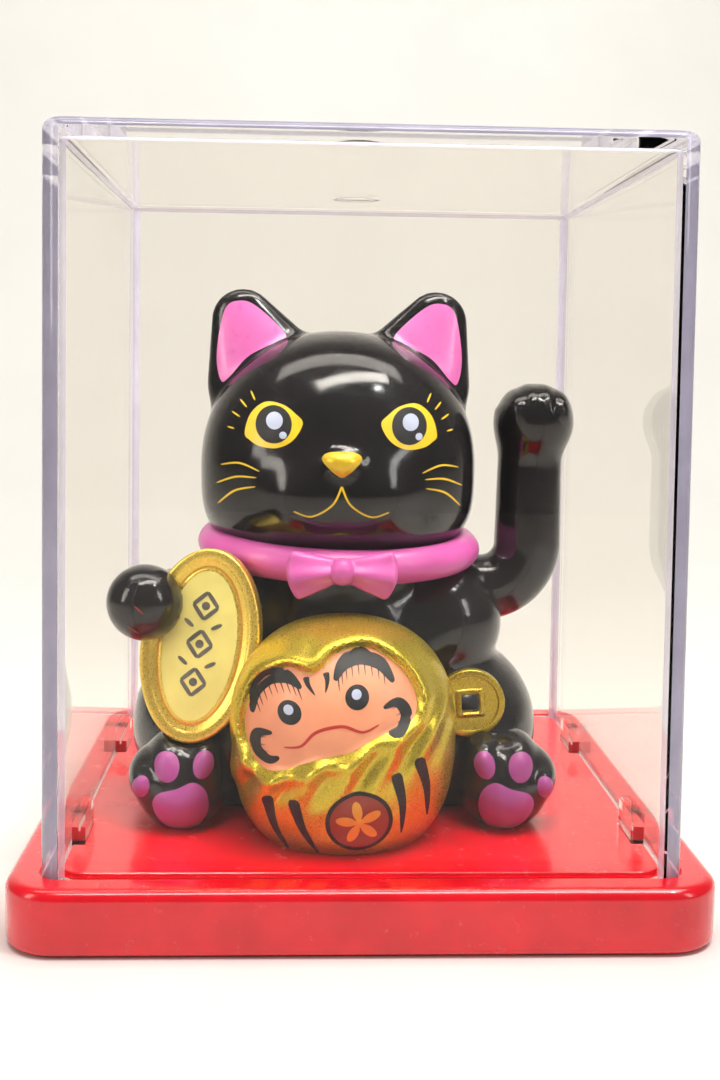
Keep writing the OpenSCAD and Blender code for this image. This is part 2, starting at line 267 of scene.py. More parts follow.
def add(into, other):
    mesh = bpy.data.meshes.new("work")
    other.to_mesh(mesh)
    into.from_mesh(mesh)
    bpy.data.meshes.remove(mesh)
    return into


def linked(name, data):
    obj = bpy.data.objects.new(name, data)
    bpy.context.scene.collection.objects.link(obj)
    return obj


def as_object(name, bm, material=None, scale=MM, smooth=True):
    """Turns a bmesh into an object in the scene, scaled to metres."""
    bmesh.ops.scale(bm, vec=(scale,) * 3, verts=bm.verts[:])
    mesh = bpy.data.meshes.new(name)
    bm.to_mesh(mesh)
    bm.free()
    mesh.polygons.foreach_set("use_smooth", [smooth] * len(mesh.polygons))
    if material is not None:
        mesh.materials.append(material)
    return linked(name, mesh)


def piece(name, bm, material, body="root", replaces=(), sharp=38):
    """Makes a shown object from a bmesh in millimetres."""
    bmesh.ops.recalc_face_normals(bm, faces=bm.faces[:])
    obj = as_object(name, bm, material)
    obj.data.set_sharp_from_angle(angle=math.radians(sharp))
    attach(obj, body)
    if replaces:
        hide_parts(*replaces)
    return obj


def loft(rings, close=True):
    """A skin through rings of equally many points. With close, the last ring joins the first."""
    n = len(rings[0])
    points = np.concatenate(rings)
    faces = []
    last = len(rings) if close else len(rings) - 1
    for i in range(last):
        for j in range(n):
            a, b = i * n, ((i + 1) % len(rings)) * n
            faces.append((a + j, a + (j + 1) % n, b + (j + 1) % n, b + j))
    if not close:
        faces.append(tuple(range(n))[::-1])
        faces.append(tuple(range((len(rings) - 1) * n, len(rings) * n)))
    return to_bm(points, faces)


CORNER = 10
CORNER_LEAD = 0.4


def square_ring(half, r, z):
    """A rounded square at height z. A point on each straight next to a corner keeps the straight flat."""
    out = []
    for k in range(4):
        mid = math.pi / 4 + k * math.pi / 2
        cx, cy = (half - r) * math.sqrt(2) * math.cos(mid), (half - r) * math.sqrt(2) * math.sin(mid)
        for i in range(-1, CORNER + 2):
            a = mid - math.pi / 4 + min(max(i, 0), CORNER) * math.pi / 2 / CORNER
            lead = CORNER_LEAD * (max(i - CORNER, 0) + min(i, 0))
            out.append((cx + r * math.cos(a) - lead * math.sin(a), cy + r * math.sin(a) + lead * math.cos(a), z))
    return np.array(out)


def circle_ring(centre, r, z):
    """A circle whose points face those of square_ring."""
    plan = square_ring(1, 0.35, z)
    a = np.arctan2(plan[:, 1], plan[:, 0])
    return np.stack([centre[0] + r * np.cos(a), centre[1] + r * np.sin(a), np.full(len(a), z)], -1)


def arc_steps(count):
    """Sine and cosine through a quarter turn."""
    return [(math.sin(i * math.pi / 2 / count), math.cos(i * math.pi / 2 / count)) for i in range(count + 1)]


def curve(points, count, closed=False):
    """A smooth Catmull-Rom curve through points."""
    pts = np.array(points, float)
    n = len(pts)
    spans = n if closed else n - 1
    out = []
    for t in np.linspace(0, spans, count, endpoint=not closed):
        i = min(int(t), spans - 1)
        u = t - i
        pick = [(i + k) % n if closed else min(max(i + k, 0), n - 1) for k in (-1, 0, 1, 2)]
        p0, p1, p2, p3 = pts[pick]
        a = 2 * p1
        b = p2 - p0
        c = 2 * p0 - 5 * p1 + 4 * p2 - p3
        d = -p0 + 3 * p1 - 3 * p2 + p3
        out.append((a + b * u + c * u * u + d * u**3) / 2)
    return np.array(out)


# ---- painted and raised details, laid on a field along +Y ----

RAY_FROM, RAY_DEPTH, RAY_STEPS, RAY_HALVINGS = -34.0, 36.0, 150, 22
SUNK = 0.06


def drop(field, plan):
    """Where rays along +Y from the front first meet the surface, for plan points (x, z)."""
    plan = np.asarray(plan, float)
    gap = RAY_DEPTH / (RAY_STEPS - 1)
    ys = RAY_FROM + RAY_DEPTH * np.arange(RAY_STEPS) / (RAY_STEPS - 1)
    x, y, z = np.broadcast_arrays(plan[:, :1], ys[None], plan[:, 1:])
    inside = field(np.stack([x, y, z], -1)) < 0
    first = np.where(inside.any(1), inside.argmax(1), RAY_STEPS - 1)
    hi = ys[first]
    lo = hi - gap
    for _ in range(RAY_HALVINGS):
        mid = (lo + hi) / 2
        deep = field(np.stack([plan[:, 0], mid, plan[:, 1]], -1)) < 0
        hi = np.where(deep, mid, hi)
        lo = np.where(deep, lo, mid)
    return np.stack([plan[:, 0], (lo + hi) / 2, plan[:, 1]], -1)


def raised(field, plan, faces, rim, height):
    """A thin closed patch on a surface, sunk a little into it. height is how far each point stands proud of it."""
    on = drop(field, plan)
    g = slope(field, on)
    g /= np.maximum(np.linalg.norm(g, axis=-1, keepdims=True), 1e-9)
    n = len(plan)
    points = np.concatenate([on + g * np.asarray(height)[:, None], on - g * SUNK])
    skin = [tuple(f) for f in faces] + [tuple(i + n for i in f[::-1]) for f in faces]
    for a, b in zip(rim, list(rim[1:]) + [rim[0]]):
        skin.append((a, a + n, b + n, b))
    return to_bm(points, skin)


def disc_plan(outline, rings):
    """Plan points, faces and rim of a filled outline, with each point's place from 0 (middle) to 1 (rim)."""
    outline = np.asarray(outline)
    n = len(outline)
    middle = outline.mean(0)
    plan, place, faces = [middle], [0.0], []
    for k in range(1, rings + 1):
        plan += list(middle + (outline - middle) * k / rings)
        place += [k / rings] * n
    for j in range(n):
        faces.append((0, 1 + j, 1 + (j + 1) % n))
        for k in range(rings - 1):
            a, b = 1 + k * n, 1 + (k + 1) * n
            faces.append((a + j, b + j, b + (j + 1) % n, a + (j + 1) % n))
    rim = [1 + (rings - 1) * n + j for j in range(n)]
    return np.array(plan), faces, rim, np.array(place)


def disc(field, outline, lift=0.03, dome=0.0, rings=5):
    plan, faces, rim, place = disc_plan(outline, rings)
    return raised(field, plan, faces, rim, lift + dome * (1 - place**2))


def stroke(field, line, width, lift, count):
    """A painted line through plan points. width is one number, or a function of the place from 0 to 1."""
    mid = curve(line, count)
    along = np.gradient(mid, axis=0)
    along /= np.maximum(np.linalg.norm(along, axis=1, keepdims=True), 1e-9)
    side = np.stack([-along[:, 1], along[:, 0]], -1)
    t = np.linspace(0, 1, count)
    w = (np.array([width(u) for u in t]) if callable(width) else np.full(count, width))[:, None] / 2
    plan = np.concatenate([mid - side * w, mid, mid + side * w])
    faces = []
    for i in range(count - 1):
        for k in (0, 1):
            a, b = k * count + i, (k + 1) * count + i
            faces.append((a, a + 1, b + 1, b))
    rim = list(range(count)) + [2 * count - 1] + list(range(3 * count - 1, 2 * count - 1, -1)) + [count]
    return raised(field, plan, faces, rim, np.full(3 * count, lift))


def tapered(width, ends=0.25):
    """A brush stroke's width: full in the middle, thin at both ends."""
    return lambda u: width * (ends + (1 - ends) * math.sin(math.pi * min(max(u, 0), 1)) ** 0.6)


def pointed(width):
    """A stroke that starts full and ends in a point."""
    return lambda u: width * max(0.12, (1 - u) ** 0.7) * min(1, 0.5 + 6 * u)


def oval(centre, half_w, half_h, turn=0.0, count=36):
    a = np.linspace(0, 2 * math.pi, count, endpoint=False)
    x, z = half_w * np.cos(a), half_h * np.sin(a)
    c, s = math.cos(math.radians(turn)), math.sin(math.radians(turn))
    return np.stack([centre[0] + c * x - s * z, centre[1] + s * x + c * z], -1)


def gather(parts):
    bm = parts[0]
    for other in parts[1:]:
        add(bm, other)
        other.free()
    return bm


# ---- materials ----


class Paint:
    """A node tree around one Principled shader."""

    def __init__(self, name):
        self.material = bpy.data.materials.new(name)
        self.material.use_nodes = True
        self.tree = self.material.node_tree
        self.shader = self.tree.nodes["Principled BSDF"]
        self.out = self.tree.nodes["Material Output"]
        self.coords = self.tree.nodes.new("ShaderNodeTexCoord").outputs["Object"]
        self.normal = None

    def set(self, **values):
        names = {"metal": "Metallic", "ior": "IOR", "coat": "Coat Weight", "coat_rough": "Coat Roughness",
                 "clear": "Transmission Weight"}
        for key, value in values.items():
            if key == "color":
                self.shader.inputs["Base Color"].default_value = (*value, 1)
            else:
                self.shader.inputs[names[key]].default_value = value
        return self

    def noise(self, size_mm, detail=3.0, rough=0.5):
        node = self.tree.nodes.new("ShaderNodeTexNoise")
        node.inputs["Scale"].default_value = 1000 / size_mm
        node.inputs["Detail"].default_value = detail
        node.inputs["Roughness"].default_value = rough
        self.tree.links.new(self.coords, node.inputs["Vector"])
        return node.outputs["Fac"]

    def cells(self, size_mm):
        node = self.tree.nodes.new("ShaderNodeTexVoronoi")
        node.inputs["Scale"].default_value = 1000 / size_mm
        self.tree.links.new(self.coords, node.inputs["Vector"])
        return node.outputs["Distance"]

    def axis(self, name):
        node = self.tree.nodes.new("ShaderNodeSeparateXYZ")
        self.tree.links.new(self.coords, node.inputs[0])
        return node.outputs[name]

    def fit(self, fac, low, high, to_low=0.0, to_high=1.0):
        node = self.tree.nodes.new("ShaderNodeMapRange")
        node.inputs["From Min"].default_value = low
        node.inputs["From Max"].default_value = high
        node.inputs["To Min"].default_value = to_low
        node.inputs["To Max"].default_value = to_high
        self.tree.links.new(fac, node.inputs["Value"])
        return node.outputs["Result"]

    def math(self, kind, a, b):
        node = self.tree.nodes.new("ShaderNodeMath")
        node.operation = kind
        for value, socket in ((a, node.inputs[0]), (b, node.inputs[1])):
            if isinstance(value, (int, float)):
                socket.default_value = value
            else:
                self.tree.links.new(value, socket)
        return node.outputs[0]

    def ramp(self, fac, stops):
        node = self.tree.nodes.new("ShaderNodeValToRGB")
        ramp = node.color_ramp
        while len(ramp.elements) < len(stops):
            ramp.elements.new(0.5)
        for element, (at, color) in zip(ramp.elements, stops):
            element.position = at
            element.color = (*color, 1)
        self.tree.links.new(fac, node.inputs["Fac"])
        return node.outputs["Color"]

    def color(self, socket):
        self.tree.links.new(socket, self.shader.inputs["Base Color"])
        return self

    def rough(self, fac, low, high):
        self.tree.links.new(self.fit(fac, 0.3, 0.7, low, high), self.shader.inputs["Roughness"])
        return self

    def bump(self, fac, depth_mm, strength=1.0):
        node = self.tree.nodes.new("ShaderNodeBump")
        node.inputs["Strength"].default_value = strength
        node.inputs["Distance"].default_value = depth_mm * MM
        self.tree.links.new(fac, node.inputs["Height"])
        if self.normal is not None:
            self.tree.links.new(self.normal, node.inputs["Normal"])
        self.normal = node.outputs["Normal"]
        self.tree.links.new(self.normal, self.shader.inputs["Normal"])
        return self


def speckle(base, amount):
    """Two near shades of one colour, for a mottled paint or moulding."""
    return [(0.3, tuple(c * (1 - amount) for c in base)), (0.7, tuple(min(1, c * (1 + amount)) for c in base))]


SKIN_DEPTH = 0.004


def plain(name, color, rough, metal=0.0, grain=0.25, patch=4.0, amount=0.08, **more):
    """Moulded or painted plastic: mottled colour, uneven gloss, a fine skin and slow waviness."""
    p = Paint(name).set(metal=metal, **more)
    p.color(p.ramp(p.noise(patch), speckle(color, amount)))
    p.rough(p.noise(patch * 0.4, 5, 0.65), *rough)
    p.bump(p.noise(grain, 3), SKIN_DEPTH)
    p.bump(p.noise(patch * 2.0, 1), SKIN_DEPTH * 6, 0.35)
    return p.material


def moulded_gloss(name, color, rough, coat):
    """High-gloss moulding with faint orange peel and handling haze."""
    p = Paint(name).set(coat=coat, coat_rough=0.04, ior=1.5)
    p.color(p.ramp(p.noise(6.0), speckle(color, 0.12)))
    p.rough(p.noise(1.8, 6, 0.7), *rough)
    p.bump(p.noise(1.6, 2), 0.006, 0.5)
    p.bump(p.noise(0.22, 2), 0.0012, 0.6)
    return p.material


FLAKE = 0.16


def gold(name, lit_color, deep, shaded_z=7.0, lit_z=20.0):
    """Sprayed metallic gold with flake sparkle, painted darker and more orange towards shaded_z: painted shade low
    down, with the red base's reflection painted in as orange.
    """
    p = Paint(name).set(metal=0.78)
    # painted shade by height: the deep colour at shaded_z and below, lit_color at lit_z and above, mottled at
    # random
    height = p.fit(p.axis("Z"), shaded_z * MM, lit_z * MM)
    mixed = p.math("ADD", height, p.fit(p.noise(2.5, 4), 0.3, 0.7, -0.12, 0.12))
    p.color(p.ramp(mixed, [(0.0, deep), (0.45, tuple((a + b) / 2 for a, b in zip(deep, lit_color))), (0.9, lit_color)]))
    p.rough(p.noise(FLAKE, 4, 0.7), 0.2, 0.4)
    p.bump(p.noise(FLAKE, 3, 0.6), 0.014, 0.8)
    p.bump(p.cells(0.5), 0.006, 0.4)
    return p.material


SHADOW_TINT = (0.98, 0.98, 0.97)


def glass(name, tint):
    """Clear moulded plastic that lets lamp light through."""
    p = Paint(name).set(clear=1.0, ior=1.24, color=tint)
    p.rough(p.noise(7.0, 3), 0.008, 0.03)
    p.bump(p.noise(14.0, 1), 0.01, 0.25)
    through = p.tree.nodes.new("ShaderNodeBsdfTransparent")
    through.inputs["Color"].default_value = (*SHADOW_TINT, 1)
    path = p.tree.nodes.new("ShaderNodeLightPath")
    both = p.tree.nodes.new("ShaderNodeMixShader")
    p.tree.links.new(path.outputs["Is Shadow Ray"], both.inputs["Fac"])
    p.tree.links.new(p.shader.outputs[0], both.inputs[1])
    p.tree.links.new(through.outputs[0], both.inputs[2])
    p.tree.links.new(both.outputs[0], p.out.inputs["Surface"])
    return p.material


def edge_glow_plastic(name, color):
    """The rounded edges of the clear moulding: partly the plastic's own faint lavender tint, partly painted light,
    a pale glow standing in for the light carried along and bent in the thick edges.
    """
    p = Paint(name).set(coat=0.8, coat_rough=0.05)
    p.color(p.ramp(p.noise(5.0), speckle(color, 0.1)))
    p.rough(p.noise(3.0), 0.08, 0.2)
    p.bump(p.noise(9.0, 1), 0.02, 0.4)
    p.shader.inputs["Alpha"].default_value = 0.55
    return p.material


def metal(name, color, rough=(0.18, 0.36), grain=0.3):
    p = Paint(name).set(metal=1.0)
    p.color(p.ramp(p.noise(1.5, 4), speckle(color, 0.1)))
    p.rough(p.noise(grain, 5, 0.7), *rough)
    p.bump(p.noise(grain, 3), SKIN_DEPTH)
    return p.material


def cell_lines(name):
    """A dark thin-film cell: bars across X under a glossy film."""
    p = Paint(name).set(coat=1.0, coat_rough=0.05)
    bars = p.math("PINGPONG", p.axis("X"), 1.75 * MM)
    line = p.fit(bars, 0.0, 0.14 * MM)
    shade = p.math("MULTIPLY", line, p.fit(p.noise(3.0, 4), 0.3, 0.7, 0.7, 1.0))
    p.color(p.ramp(shade, [(0.0, (0.35, 0.3, 0.27)), (0.5, (0.05, 0.02, 0.03)), (1.0, (0.09, 0.03, 0.045))]))
    p.rough(p.noise(0.8, 4), 0.18, 0.32)
    p.bump(line, 0.01, 0.5)
    return p.material


def windings(name):
    """Fine enamelled wire, wound round Z, the copper colour darkening to painted shade in the groove where two
    turns meet.
    """
    p = Paint(name).set(metal=0.85, coat=0.6)
    turns = p.math("PINGPONG", p.axis("Z"), 0.06 * MM)
    # painted shade: dark where turns meet, full copper on each turn's crest
    p.color(p.ramp(p.fit(turns, 0.0, 0.06 * MM), [(0.0, (0.16, 0.05, 0.02)), (1.0, (0.72, 0.3, 0.12))]))
    p.rough(p.noise(0.4, 4), 0.2, 0.4)
    p.bump(p.fit(turns, 0.0, 0.06 * MM), 0.03, 0.9)
    return p.material


RED = (0.77, 0.005, 0.016)
PINK = (0.66, 0.11, 0.40)
PAD = (0.36, 0.062, 0.27)
YELLOW = (0.86, 0.56, 0.018)
SALMON = (0.84, 0.32, 0.17)
INK = (0.012, 0.011, 0.012)

MAT = {
    "red": moulded_gloss("red_plastic", RED, (0.16, 0.3), 0.5),
    "black": moulded_gloss("black_gloss", INK, (0.08, 0.18), 0.35),
    "pink": plain("pink_paint", PINK, (0.3, 0.45), coat=0.35),
    "ear_pink": plain("ear_pink_paint", (0.70, 0.145, 0.43), (0.25, 0.4), coat=0.4),
    "pad": plain("pad_paint", PAD, (0.35, 0.5), coat=0.2),
    "yellow": plain("yellow_paint", YELLOW, (0.28, 0.42), coat=0.3, patch=1.5),
    "nose_gold": plain("nose_paint", (0.85, 0.55, 0.03), (0.25, 0.4), metal=0.35, patch=1.5, coat=0.4),
    "white": plain("white_paint", (0.5, 0.54, 0.7), (0.3, 0.45), patch=1.5),
    "ink": plain("ink_paint", (0.01, 0.009, 0.01), (0.45, 0.6), patch=1.5),
    "grey_ink": plain("grey_ink_paint", (0.13, 0.12, 0.1), (0.4, 0.55), patch=1.2, amount=0.25),
    "line_red": plain("red_line_paint", (0.5, 0.03, 0.02), (0.3, 0.45), patch=1.2),
    "claw_red": plain("claw_line_paint", (0.3, 0.035, 0.03), (0.3, 0.45), patch=1.2),
    "seal_red": plain("seal_paint", (0.3, 0.028, 0.01), (0.3, 0.45), coat=0.3, patch=1.2),
    "salmon": plain("salmon_paint", SALMON, (0.38, 0.52), patch=3.0, coat=0.15),
    # the three golds are painted darker and more orange low down: painted shade and a painted reflection of the
    # red base
    "gold": gold("gold_paint", (0.66, 0.50, 0.05), (0.36, 0.21, 0.03), 5.0, 10.5),
    "coin_gold": gold("coin_gold_paint", (0.96, 0.68, 0.13), (0.85, 0.5, 0.07)),
    "field_yellow": plain("coin_field_paint", (0.93, 0.80, 0.24), (0.3, 0.45), metal=0.2, patch=3.0),
    "old_gold": gold("old_gold_paint", (0.52, 0.38, 0.045), (0.34, 0.22, 0.03)),
    "seal_gold": plain("seal_gold_paint", (0.8, 0.38, 0.05), (0.3, 0.45), metal=0.5, patch=1.0),
    "clear": glass("clear_plastic", (0.945, 0.928, 0.9)),
    # painted light: the pale lavender glow of the cover's rounded edges, on top of the plastic's own faint tint
    "edge": edge_glow_plastic("clear_plastic_edge_glow", (0.74, 0.68, 0.88)),
    "natural": plain("natural_plastic", (0.8, 0.79, 0.74), (0.35, 0.5)),
    "board": plain("board_laminate", (0.02, 0.2, 0.06), (0.3, 0.45), patch=1.5, coat=0.3),
    "chip": plain("chip_epoxy", (0.02, 0.02, 0.022), (0.5, 0.7), patch=0.8, grain=0.08),
    "lead": plain("lead_insulation", (0.5, 0.02, 0.02), (0.4, 0.55), patch=1.0),
    "can": metal("capacitor_can", (0.62, 0.65, 0.7)),
    "screw": metal("screw_zinc", (0.6, 0.6, 0.6), (0.25, 0.45)),
    "axle": metal("axle_steel", (0.62, 0.62, 0.64), (0.12, 0.25), 0.15),
    "bush": metal("bush_brass", (0.72, 0.5, 0.18), (0.2, 0.35), 0.2),
    "magnet": metal("magnet_nickel", (0.68, 0.67, 0.64), (0.1, 0.22), 0.6),
    "cell": cell_lines("solar_cell"),
    "coil": windings("coil_winding"),
}

CARRIED = {
    "bottom_plate": "red", "base_screws": "screw", "solar_panel": "cell", "panel_leads": "lead",
    "circuit_board": "board", "driver_chip": "chip", "capacitor": "can", "coil_bobbin": "natural",
    "coil_winding": "coil", "chassis": "natural", "chassis_screws": "screw", "axle_bushes": "bush",
    "arm_axle": "axle", "pendulum_bar": "natural", "pendulum_magnet": "magnet",
}
for node_name, material_name in CARRIED.items():
    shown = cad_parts[node_name].data
    shown.materials.clear()
    shown.materials.append(MAT[material_name])


# ---- places that the frame gives ----

tray_high = box_mm("base_tray")[1]
cover_high = box_mm("case_cover")[1]
head_low, head_high = box_mm("head_front_shell")
doll_low, doll_high = box_mm("daruma_doll")


def middle_of(node):
    return sum(box_mm(node)) / 2


BASE_TOP = tray_high[2]
CAT_X = (head_low[0] + head_high[0]) / 2
AXLE_Y, AXLE_Z = middle_of("arm_axle")[1:]
NECK_Z = head_low[2] - 0.05
SHELL = 1.4
PART_GAP = 0.03


# ---- the koban's own plane ----

KOBAN_C = middle_of("koban_coin")
KOBAN_HALF = (5.9, 9.7)
KOBAN_T = 2.2
KOBAN_TURN = (Matrix.Rotation(math.radians(-10), 3, "Z") @ Matrix.Rotation(math.radians(8), 3, "Y")
              @ Matrix.Rotation(math.radians(-8), 3, "X") @ Matrix.Rotation(math.radians(90), 3, "X"))
KOBAN_M = np.array(KOBAN_TURN)


def in_koban(p):
    """Points in the coin's plane: x across, y up, z out of its face."""
    return (p - KOBAN_C) @ KOBAN_M


def koban_slab(slack):
    def field(p):
        q = in_koban(p)
        r = (np.hypot(q[..., 0] / KOBAN_HALF[0], q[..., 1] / KOBAN_HALF[1]) - 1) * KOBAN_HALF[0]
        return np.maximum(r, np.abs(q[..., 2]) - KOBAN_T / 2) - slack

    return field


# ---- fields of the cat ----

EAR_DX, EAR_TIP_DX = 7.45, 10.2
HEAD_Y = -2.0
HEAD_HALF = (14.55, 12.4)
HEAD_MID_Z = NECK_Z + 8.3


def ear_field(side):
    base = (CAT_X + side * EAR_DX, -1.0, NECK_Z + 17.0)
    tip = (CAT_X + side * EAR_TIP_DX, -1.0, NECK_Z + 23.6)
    return round_cone(base, tip, 6.5, 3.3, 0.5)


skull = superegg((CAT_X, HEAD_Y, HEAD_MID_Z), HEAD_HALF, 14.3, 9.6, 2.1, 3.5)
muzzle = join([egg((CAT_X + s * 2.6, -11.7, NECK_Z + 6.2), (8.2, 6.6, 7.0)) for s in (-1, 1)], 1.5)
nose_bump = egg((CAT_X, -13.9, NECK_Z + 9.4), (4.4, 3.0, 3.0))
head_plain = join([join([skull, muzzle], 2.6), nose_bump], 1.2)
head = join([head_plain, join([ear_field(-1), ear_field(1)], 0.01)], 0.9)

torso = egg((CAT_X, AXLE_Y, 20), (31, 25, 29))
hips = egg((CAT_X, AXLE_Y, 12), (38, 25.2, 24))
haunches = [egg((CAT_X + s * 12.25, AXLE_Y, 12.8), (19.8, 24.8, 19.8)) for s in (-1, 1)]
shoulder = egg((9.0, -2.2, 24.8), (13.4, 14, 14))
neck = superegg((CAT_X, HEAD_Y, NECK_Z - 4), (10.2, 8.8), 8, 8, 6, 6)
joint = egg((8.6, AXLE_Y, AXLE_Z - 0.4), (10.2, 11.4, 10.2))
socket = bar_x(12.2, 40, AXLE_Y, AXLE_Z, 4.0)
body_plain = join([join([torso, shoulder, joint], 2.4), join([hips, *haunches], 1.6)], 1.6)
body = carve(join([body_plain, neck], 0.8), socket, 0.25)
tail = egg((CAT_X, 12.4, 13), (6, 5.6, 9))


def split(name, whole, plane_y):
    """Cuts a hollow form at a plane across Y into a front and a rear piece with a hairline gap."""
    for side, end in ((-1, "front"), (1, "rear")):
        half = cut(whole.copy(), (0, plane_y + side * PART_GAP, 0), (0, -side, 0))
        piece(f"{name}_{end}", half, MAT["black"], "root", (f"{name}_{end}_shell",))
    whole.free()


def make_head():
    pts, faces = net(head, (CAT_X - 18, -17, NECK_Z - 1), (CAT_X + 18, 13, NECK_Z + 29), step=0.42)
    whole = cut(to_bm(pts, faces), (0, 0, NECK_Z + 0.05), (0, 0, -1))
    low, high = (CAT_X - 15, -15, NECK_Z - 1), (CAT_X + 15, 12, NECK_Z + 23)
    pts, faces = net(grown(even(skull), -SHELL), low, high, step=0.6)
    add(whole, cut(to_bm(pts, faces, flip=True), (0, 0, NECK_Z + SHELL), (0, 0, -1)))
    split("head", whole, -1.0)


def make_body():
    boss = bar_x(11.1, 40, AXLE_Y, AXLE_Z, 5.1)
    axle_hole = bar_x(0, 40, AXLE_Y, AXLE_Z, 1.1)
    room = carve(grown(even(body_plain), -SHELL), boss, 0.2)

    def closed_room(p):
        return np.maximum(room(p), p[..., 2] - (NECK_Z - SHELL))

    shell = carve(carve(join([body, tail], 1.0), closed_room, 0.05), axle_hole, 0.1)
    pts, faces = net(shell, (CAT_X - 24, -15.2, BASE_TOP - 1), (CAT_X + 24, 17, NECK_Z + 1), step=0.45)
    whole = cut(to_bm(pts, faces), (0, 0, BASE_TOP + 0.02), (0, 0, -1))
    cut(whole, (0, 0, NECK_Z), (0, 0, 1))
    split("body", whole, AXLE_Y)


# ---- feet ----

FOOT_Y = -13.0
FOOT_BACK = -12.25


def foot_field(cx, out):
    """A hind foot: a fat sole and three toes that fan to the outside, out = -1 or 1."""
    sole = egg((cx, FOOT_Y, 10.4), (9.6, 11.2, 10.2))
    toes = [egg((cx + out * dx, FOOT_Y - 0.9, z), (3.4, 7.2, 4.5))
            for dx, z in ((-2.4, 13.3), (1.1, 13.4), (3.5, 11.2))]
    return join([sole, join(toes, 0.35)], 0.9)


def make_foot(name, cx, out, node):
    field = carve(foot_field(cx, out), koban_slab(0.15), 0.1)
    pts, faces = net(field, (cx - 7, -20, 5), (cx + 7, -10, 18), 0.3)
    bm = cut(cut(to_bm(pts, faces), (0, FOOT_BACK, 0), (0, 1, 0)), (0, 0, BASE_TOP + 0.05), (0, 0, -1))
    piece(name, bm, MAT["black"], "root", (node,))
    pads = [disc(field, oval((cx + out * -2.45, 13.1), 1.0, 1.35, out * 8), 0.02, 0.3),
            disc(field, oval((cx + out * 1.1, 13.0), 1.25, 1.42, out * -6), 0.02, 0.3),
            disc(field, oval((cx + out * 3.7, 10.8), 0.85, 1.25, out * 22), 0.02, 0.25)]
    bean = curve([(cx + out * (x - 0.2), 8.8 + z) for x, z in
                  ((-1.3, 2.75), (-2.5, 1.7), (-2.7, -0.3), (-1.7, -2.2), (0.1, -2.75), (1.8, -1.8), (2.7, 0.2),
                   (2.1, 1.6), (0.3, 2.2))], 44, closed=True)
    pads.append(disc(field, bean, 0.02, 0.45, 7))
    piece(name + "_pads", gather(pads), MAT["pad"])


# ---- arms ----


def make_right_arm():
    paw = (-21.3, -14.2, 28.6)
    upper = round_cone((-15.5, -4.6, 27.1), (-19, -7.5, 27.5), 3.3, 3.2)
    fore = round_cone((-19, -7.5, 27.5), paw, 3.2, 3.3)
    whole = join([join([upper, fore], 1.0), egg(paw, (7.5, 7.5, 7.5))], 0.7)
    field = carve(whole, koban_slab(0.12), 0.12)
    pts, faces = net(field, (-26, -19, 22), (-11, 0, 34), 0.32)
    piece("right_arm_shape", to_bm(pts, faces), MAT["black"], "root", ("right_arm",))
    claws = [stroke(field, [(-21.9, 28.9), (-21.4, 28.5), (-21.0, 28.1)], tapered(0.16), 0.02, count=12),
             stroke(field, [(-22.6, 26.8), (-22.1, 26.4), (-21.6, 26.1)], tapered(0.16), 0.02, count=12)]
    piece("right_paw_lines", gather(claws), MAT["claw_red"])


FOREARM_X = box_mm("left_arm")[1][0] - 4.6
ELBOW_R = 5.0
ARM_R = 3.6


def elbow_field(p):
    """A quarter ring from the shoulder stub up into the forearm."""
    cx, cz = FOREARM_X - ELBOW_R, AXLE_Z + ELBOW_R
    x, z = p[..., 0] - cx, p[..., 2] - cz
    ring = np.hypot(x, z)
    bend = np.hypot(ring - ELBOW_R, p[..., 1] - AXLE_Y) - ARM_R
    stub = np.hypot(p[..., 1] - AXLE_Y, p[..., 2] - AXLE_Z) - ARM_R
    stub = np.maximum(stub, 12.5 - p[..., 0])
    shrink = np.clip(z / 14, 0, 1) * 0.25
    rise = np.hypot(x - ELBOW_R, p[..., 1] - AXLE_Y) - (ARM_R - shrink)
    rise = np.maximum(rise, z - 14)
    return np.where(z > 0, rise, np.where(x < 0, stub, bend))


def make_left_arm():
    paw_z = 46.2
    paw = egg((FOREARM_X + 0.3, AXLE_Y - 0.4, paw_z), (8.5, 9.2, 8.2))
    toes = [egg((FOREARM_X + 0.3 + dx, AXLE_Y - 1.3, paw_z + 1.9 - abs(dx) * 0.34), (2.5, 6.8, 4.4))
            for dx in (-2.3, -0.75, 0.75, 2.3)]
    whole = join([join([elbow_field, paw], 1.4), join(toes, 0.25)], 0.8)
    field = carve(whole, bar_x(0, 17.25, AXLE_Y, AXLE_Z, 0.76), 0.03)
    pts, faces = net(field, (11.5, -6, 23.5), (24.5, 6.5, 51.5), 0.32)
    piece("left_arm_shape", to_bm(pts, faces), MAT["black"], "arm", ("left_arm",))


# ---- collar and bow ----


def make_collar():
    """A soft ring round the neck, lower at the front and a little lower on one side."""
    turns, around = 128, 28
    ring_r, depth_share, tube_out, tube_up, squareness = 13.25, 0.86, 1.72, 1.78, 0.06
    tilt = math.radians(5)
    lean = math.radians(1.2)
    centre = middle_of("collar") + np.array([0.1, 0, 0])
    rings = []
    for i in range(turns):
        a = 2 * math.pi * i / turns
        ring = []
        for j in range(around):
            b = 2 * math.pi * j / around
            out = ring_r + tube_out * math.cos(b) * (1 + squareness * math.cos(2 * b))
            up = tube_up * math.sin(b)
            x, y, z = out * math.cos(a), out * math.sin(a) * depth_share, up - out * math.cos(a) * math.sin(lean)
            ring.append((centre[0] + x, centre[1] + y * math.cos(tilt) - z * math.sin(tilt),
                         centre[2] + y * math.sin(tilt) + z * math.cos(tilt)))
        rings.append(np.array(ring))
    piece("collar_ring", loft(rings), MAT["pink"], "root", ("collar",), sharp=60)


